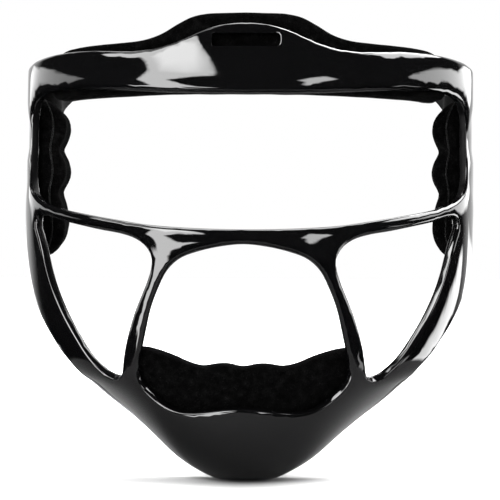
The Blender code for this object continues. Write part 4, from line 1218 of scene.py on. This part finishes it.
def studio_floor():
    """Plain pale floor, wide enough for every view; it is clear from below.

    A soft contact shadow is painted, for the camera only, into the floor's colour and glow under the
    chin and a little in front of it."""
    mat, nt, bsdf = shader("studio_white")
    link = nt.links.new
    bsdf.inputs["Roughness"].default_value = 0.9
    # Glossy rays see the floor in a much darker tone than the camera's 0.93: painted shade on the floor
    # as it shows in the guard's reflections.
    path = node(nt, "ShaderNodeLightPath")
    tone = node(nt, "ShaderNodeMix", data_type="RGBA")
    tone.inputs[6].default_value = (0.93, 0.93, 0.93, 1)
    link(path.outputs["Is Glossy Ray"], tone.inputs[0])
    spot = node(nt, "ShaderNodeNewGeometry")
    span = node(nt, "ShaderNodeVectorMath", operation="LENGTH")
    link(spot.outputs["Position"], span.inputs[0])
    table = node(nt, "ShaderNodeMapRange", interpolation_type="SMOOTHSTEP")
    table.inputs["From Min"].default_value = TABLE_EDGE - 0.015
    table.inputs["From Max"].default_value = TABLE_EDGE + 0.015
    table.inputs["To Min"].default_value = REFLECTED_FLOOR_SHADE
    table.inputs["To Max"].default_value = REFLECTED_FLOOR_SHADE
    link(span.outputs["Value"], table.inputs["Value"])
    link(table.outputs[0], tone.inputs[7])
    # Painted contact shadow: a soft dark ellipse centred under the chin, longer fore and aft than
    # across, multiplied into the floor's colour and glow for camera rays only; no lamp casts it.
    under = node(nt, "ShaderNodeMapping")
    under.inputs["Location"].default_value = (-0.025, -0.127, 0)
    under.inputs["Scale"].default_value = (50.0, 23.1, 0)
    link(spot.outputs["Position"], under.inputs["Vector"])
    far = node(nt, "ShaderNodeVectorMath", operation="DOT_PRODUCT")
    link(under.outputs[0], far.inputs[0])
    link(under.outputs[0], far.inputs[1])
    fall = node(nt, "ShaderNodeMath", operation="POWER")
    fall.inputs[0].default_value = math.exp(-1)
    link(far.outputs["Value"], fall.inputs[1])
    core = node(nt, "ShaderNodeMath", operation="MULTIPLY_ADD")
    link(fall.outputs[0], core.inputs[0])
    core.inputs[1].default_value = -0.96
    core.inputs[2].default_value = 1.0
    wide = node(nt, "ShaderNodeMath", operation="POWER")
    link(fall.outputs[0], wide.inputs[0])
    wide.inputs[1].default_value = 1 / 6
    skirt = node(nt, "ShaderNodeMath", operation="MULTIPLY_ADD")
    link(wide.outputs[0], skirt.inputs[0])
    skirt.inputs[1].default_value = -0.45
    skirt.inputs[2].default_value = 1.0
    deep = node(nt, "ShaderNodeMath", operation="MULTIPLY")
    link(core.outputs[0], deep.inputs[0])
    link(skirt.outputs[0], deep.inputs[1])
    shade = node(nt, "ShaderNodeMix", data_type="RGBA", blend_type="MULTIPLY")
    link(path.outputs["Is Camera Ray"], shade.inputs[0])
    link(tone.outputs[2], shade.inputs[6])
    link(deep.outputs[0], shade.inputs[7])
    link(shade.outputs[2], bsdf.inputs["Base Color"])
    geo = node(nt, "ShaderNodeNewGeometry")
    away = node(nt, "ShaderNodeVectorMath", operation="LENGTH")
    link(geo.outputs["Position"], away.inputs[0])
    reach = node(nt, "ShaderNodeMapRange", interpolation_type="SMOOTHSTEP")
    reach.inputs["From Min"].default_value = 0.10
    reach.inputs["From Max"].default_value = 0.60
    reach.inputs["To Min"].default_value = FLOOR_LIFT
    reach.inputs["To Max"].default_value = 1.0
    link(away.outputs["Value"], reach.inputs["Value"])
    lift = node(nt, "ShaderNodeMath", operation="MULTIPLY")
    link(path.outputs["Is Camera Ray"], lift.inputs[0])
    shadowed_floor_glow = node(nt, "ShaderNodeMath", operation="MULTIPLY")
    link(reach.outputs[0], shadowed_floor_glow.inputs[0])
    link(deep.outputs[0], shadowed_floor_glow.inputs[1])
    link(shadowed_floor_glow.outputs[0], lift.inputs[1])
    bsdf.inputs["Emission Color"].default_value = (1, 1, 1, 1)
    link(lift.outputs[0], bsdf.inputs["Emission Strength"])
    clear = node(nt, "ShaderNodeBsdfTransparent")
    mix = node(nt, "ShaderNodeMixShader")
    edge = node(nt, "ShaderNodeMapRange", interpolation_type="SMOOTHSTEP")
    edge.inputs["From Min"].default_value = TABLE_EDGE - 0.015
    edge.inputs["From Max"].default_value = TABLE_EDGE + 0.015
    link(span.outputs["Value"], edge.inputs["Value"])
    beyond = node(nt, "ShaderNodeMath", operation="MULTIPLY")
    link(edge.outputs[0], beyond.inputs[0])
    link(path.outputs["Is Glossy Ray"], beyond.inputs[1])
    unseen = node(nt, "ShaderNodeMath", operation="MAXIMUM")
    link(beyond.outputs[0], unseen.inputs[0])
    link(geo.outputs["Backfacing"], unseen.inputs[1])
    link(unseen.outputs[0], mix.inputs[0])
    link(bsdf.outputs[0], mix.inputs[1])
    link(clear.outputs[0], mix.inputs[2])
    link(mix.outputs[0], nt.nodes["Material Output"].inputs["Surface"])
    mesh = bpy.data.meshes.new("studio_floor")
    n, r = 64, 9.0
    verts = [(r * math.cos(2 * math.pi * i / n), r * math.sin(2 * math.pi * i / n), -0.0004)
             for i in range(n)]
    mesh.from_pydata(verts, [], [tuple(range(n))])
    mesh.materials.append(mat)
    ob = bpy.data.objects.new("studio_floor", mesh)
    bpy.context.scene.collection.objects.link(ob)
    return ob


# The first value is the floor's tone in the guard's reflections: painted shade, far darker than the
# floor the camera sees.
REFLECTED_FLOOR_SHADE, FLOOR_LIFT, TABLE_EDGE = 0.14, 0.1, 0.19
studio_floor()
cam_data = bpy.data.cameras.new("camera")
cam_data.lens, cam_data.sensor_width = 207.72, 36
cam_data.clip_start, cam_data.clip_end = 0.05, 20
cam = bpy.data.objects.new("camera", cam_data)
bpy.context.scene.collection.objects.link(cam)
cam.location = (0.04800, -1.32317, 0.1051)
cam.rotation_euler = (math.radians(90), math.radians(-0.34), math.radians(2))
bpy.context.scene.camera = cam

card("key_panel", [(-77, 50), (-74, 45.5), (-62, 38.4), (-51, 37.6), (-43, 35), (-37.6, 28.7),
                   (-34.5, 23.2), (-36.6, 19.2), (-39, 12.8), (-36, 6.5), (-34, -0.5),
                   (-39, -2.5), (-44.5, -5), (-44, -12), (-34, -15), (-29, -19),
                   (-19, -23), (-11, -20), (-16, -14), (-19, -9), (-19.5, -3), (-11, -3.5),
                   (-7, -1.5), (-10.5, 2), (-15.5, 4.4), (-20.5, 6.8), (-24.2, 13),
                   (-20.8, 14.6), (-15.6, 18.6), (-8.6, 20.8), (-8, 24), (-9.8, 28.4),
                   (-10.8, 32.4), (-16.5, 40), (-25, 47.5), (-34, 53), (-60, 57),
                   (-77, 55)], 12, 1.5, 1.1)
card("key_centre", [(-34, 30), (-29, 22), (-17, 21.5), (-10.5, 23.5), (-12.5, 31), (-18, 38.5),
                    (-27, 45), (-38, 46), (-40, 38)], 6, 4.0)
card("slit_right", [(10, 14.5), (13, 11), (12, 6), (15, 2), (19, 5.5), (21, 10), (28, 14.5),
                    (21.5, 20.5), (15, 18)], 10, 1.8, 1.0)
card("side_strip_left", [(-148, 11), (-140, 13), (-120, 15.5), (-105, 15), (-94, 13.5),
                         (-79, 10.5), (-69, 6.5), (-80, 0.5), (-100, -1), (-107, 2.5),
                         (-122, 3), (-132, 0), (-148, 3.5)], 3.0, 2.0)
card("side_strip_right", [(63, 9.5), (70, 16), (90, 19), (112, 18), (121, 14), (140, 17),
                          (153, 13), (150, 4.5), (140, 2), (129, 2.5), (112, 1.5), (104, 6),
                          (98, 5.5), (91, 1.5), (80, 2), (72, 6)], 6.2, 2.0)
card("top_panel_right", [(55, 38), (66, 37), (76, 34.8), (92, 35), (112, 37), (140, 37),
                         (168, 40), (168, 68), (100, 70), (74, 67), (57, 57)], 12.5, 1.5)
card("top_panel_left", [(-79, 78), (-76, 56), (-92, 60), (-140, 64), (-140, 78)], 4)
card("top_strip_rear", [(158, 42), (202, 42), (202, 72), (158, 72)], 5)
card("low_panel_right", [(96, -18), (104, -14), (112, -11), (119, -7.5), (125, -1.5),
                         (131, -1.5), (131, -10), (126, -17), (122, -24), (119, -36),
                         (111, -43), (99, -40), (95, -28)], 9.5, 2.0)
card("low_strip_right", [(142, -2), (144, 1.5), (150, 0), (168, -0.5), (168, -5),
                         (156, -8.5), (149, -11), (144, -9)], 4.6, 2.0)
card("low_strip_left", [(-167, 0), (-160, 1), (-148, -2.5), (-140, -9), (-136, -13),
                        (-127, -15), (-124, -21), (-134, -24), (-146, -16), (-154, -9),
                        (-167, -4)], 3.4, 2.0)
card("post_strip_right", [(58, -10), (70, -15), (81, -19), (78, -27), (63, -26), (56, -17)],
     3.6, 2.0)

# open white studio behind the object, dark in front of it
world = bpy.data.worlds.new("studio")
bpy.context.scene.world = world
world.use_nodes = True
nt = world.node_tree
bg = nt.nodes["Background"]
geo = node(nt, "ShaderNodeTexCoord")
sep = node(nt, "ShaderNodeSeparateXYZ")
nt.links.new(geo.outputs["Generated"], sep.inputs[0])
fade = node(nt, "ShaderNodeMapRange")
fade.inputs["From Min"].default_value = 0.60
fade.inputs["From Max"].default_value = 0.80
fade.inputs["To Min"].default_value = 0.035
fade.inputs["To Max"].default_value = 1.0
nt.links.new(sep.outputs["Y"], fade.inputs["Value"])
low = node(nt, "ShaderNodeMapRange")
low.inputs["From Min"].default_value = -0.24
low.inputs["From Max"].default_value = -0.08
low.inputs["To Min"].default_value = 0.08
low.inputs["To Max"].default_value = 1.0
nt.links.new(sep.outputs["Z"], low.inputs["Value"])
glow = node(nt, "ShaderNodeMath", operation="MULTIPLY")
nt.links.new(fade.outputs[0], glow.inputs[0])
nt.links.new(low.outputs[0], glow.inputs[1])
path = node(nt, "ShaderNodeLightPath")
pick = node(nt, "ShaderNodeMix", data_type="FLOAT")
nt.links.new(path.outputs["Is Camera Ray"], pick.inputs[0])
nt.links.new(glow.outputs[0], pick.inputs[2])
pick.inputs[3].default_value = 1.0
nt.links.new(pick.outputs[0], bg.inputs["Strength"])
bg.inputs["Color"].default_value = (1, 1, 1, 1)
bpy.context.scene.view_settings.view_transform = "Standard"
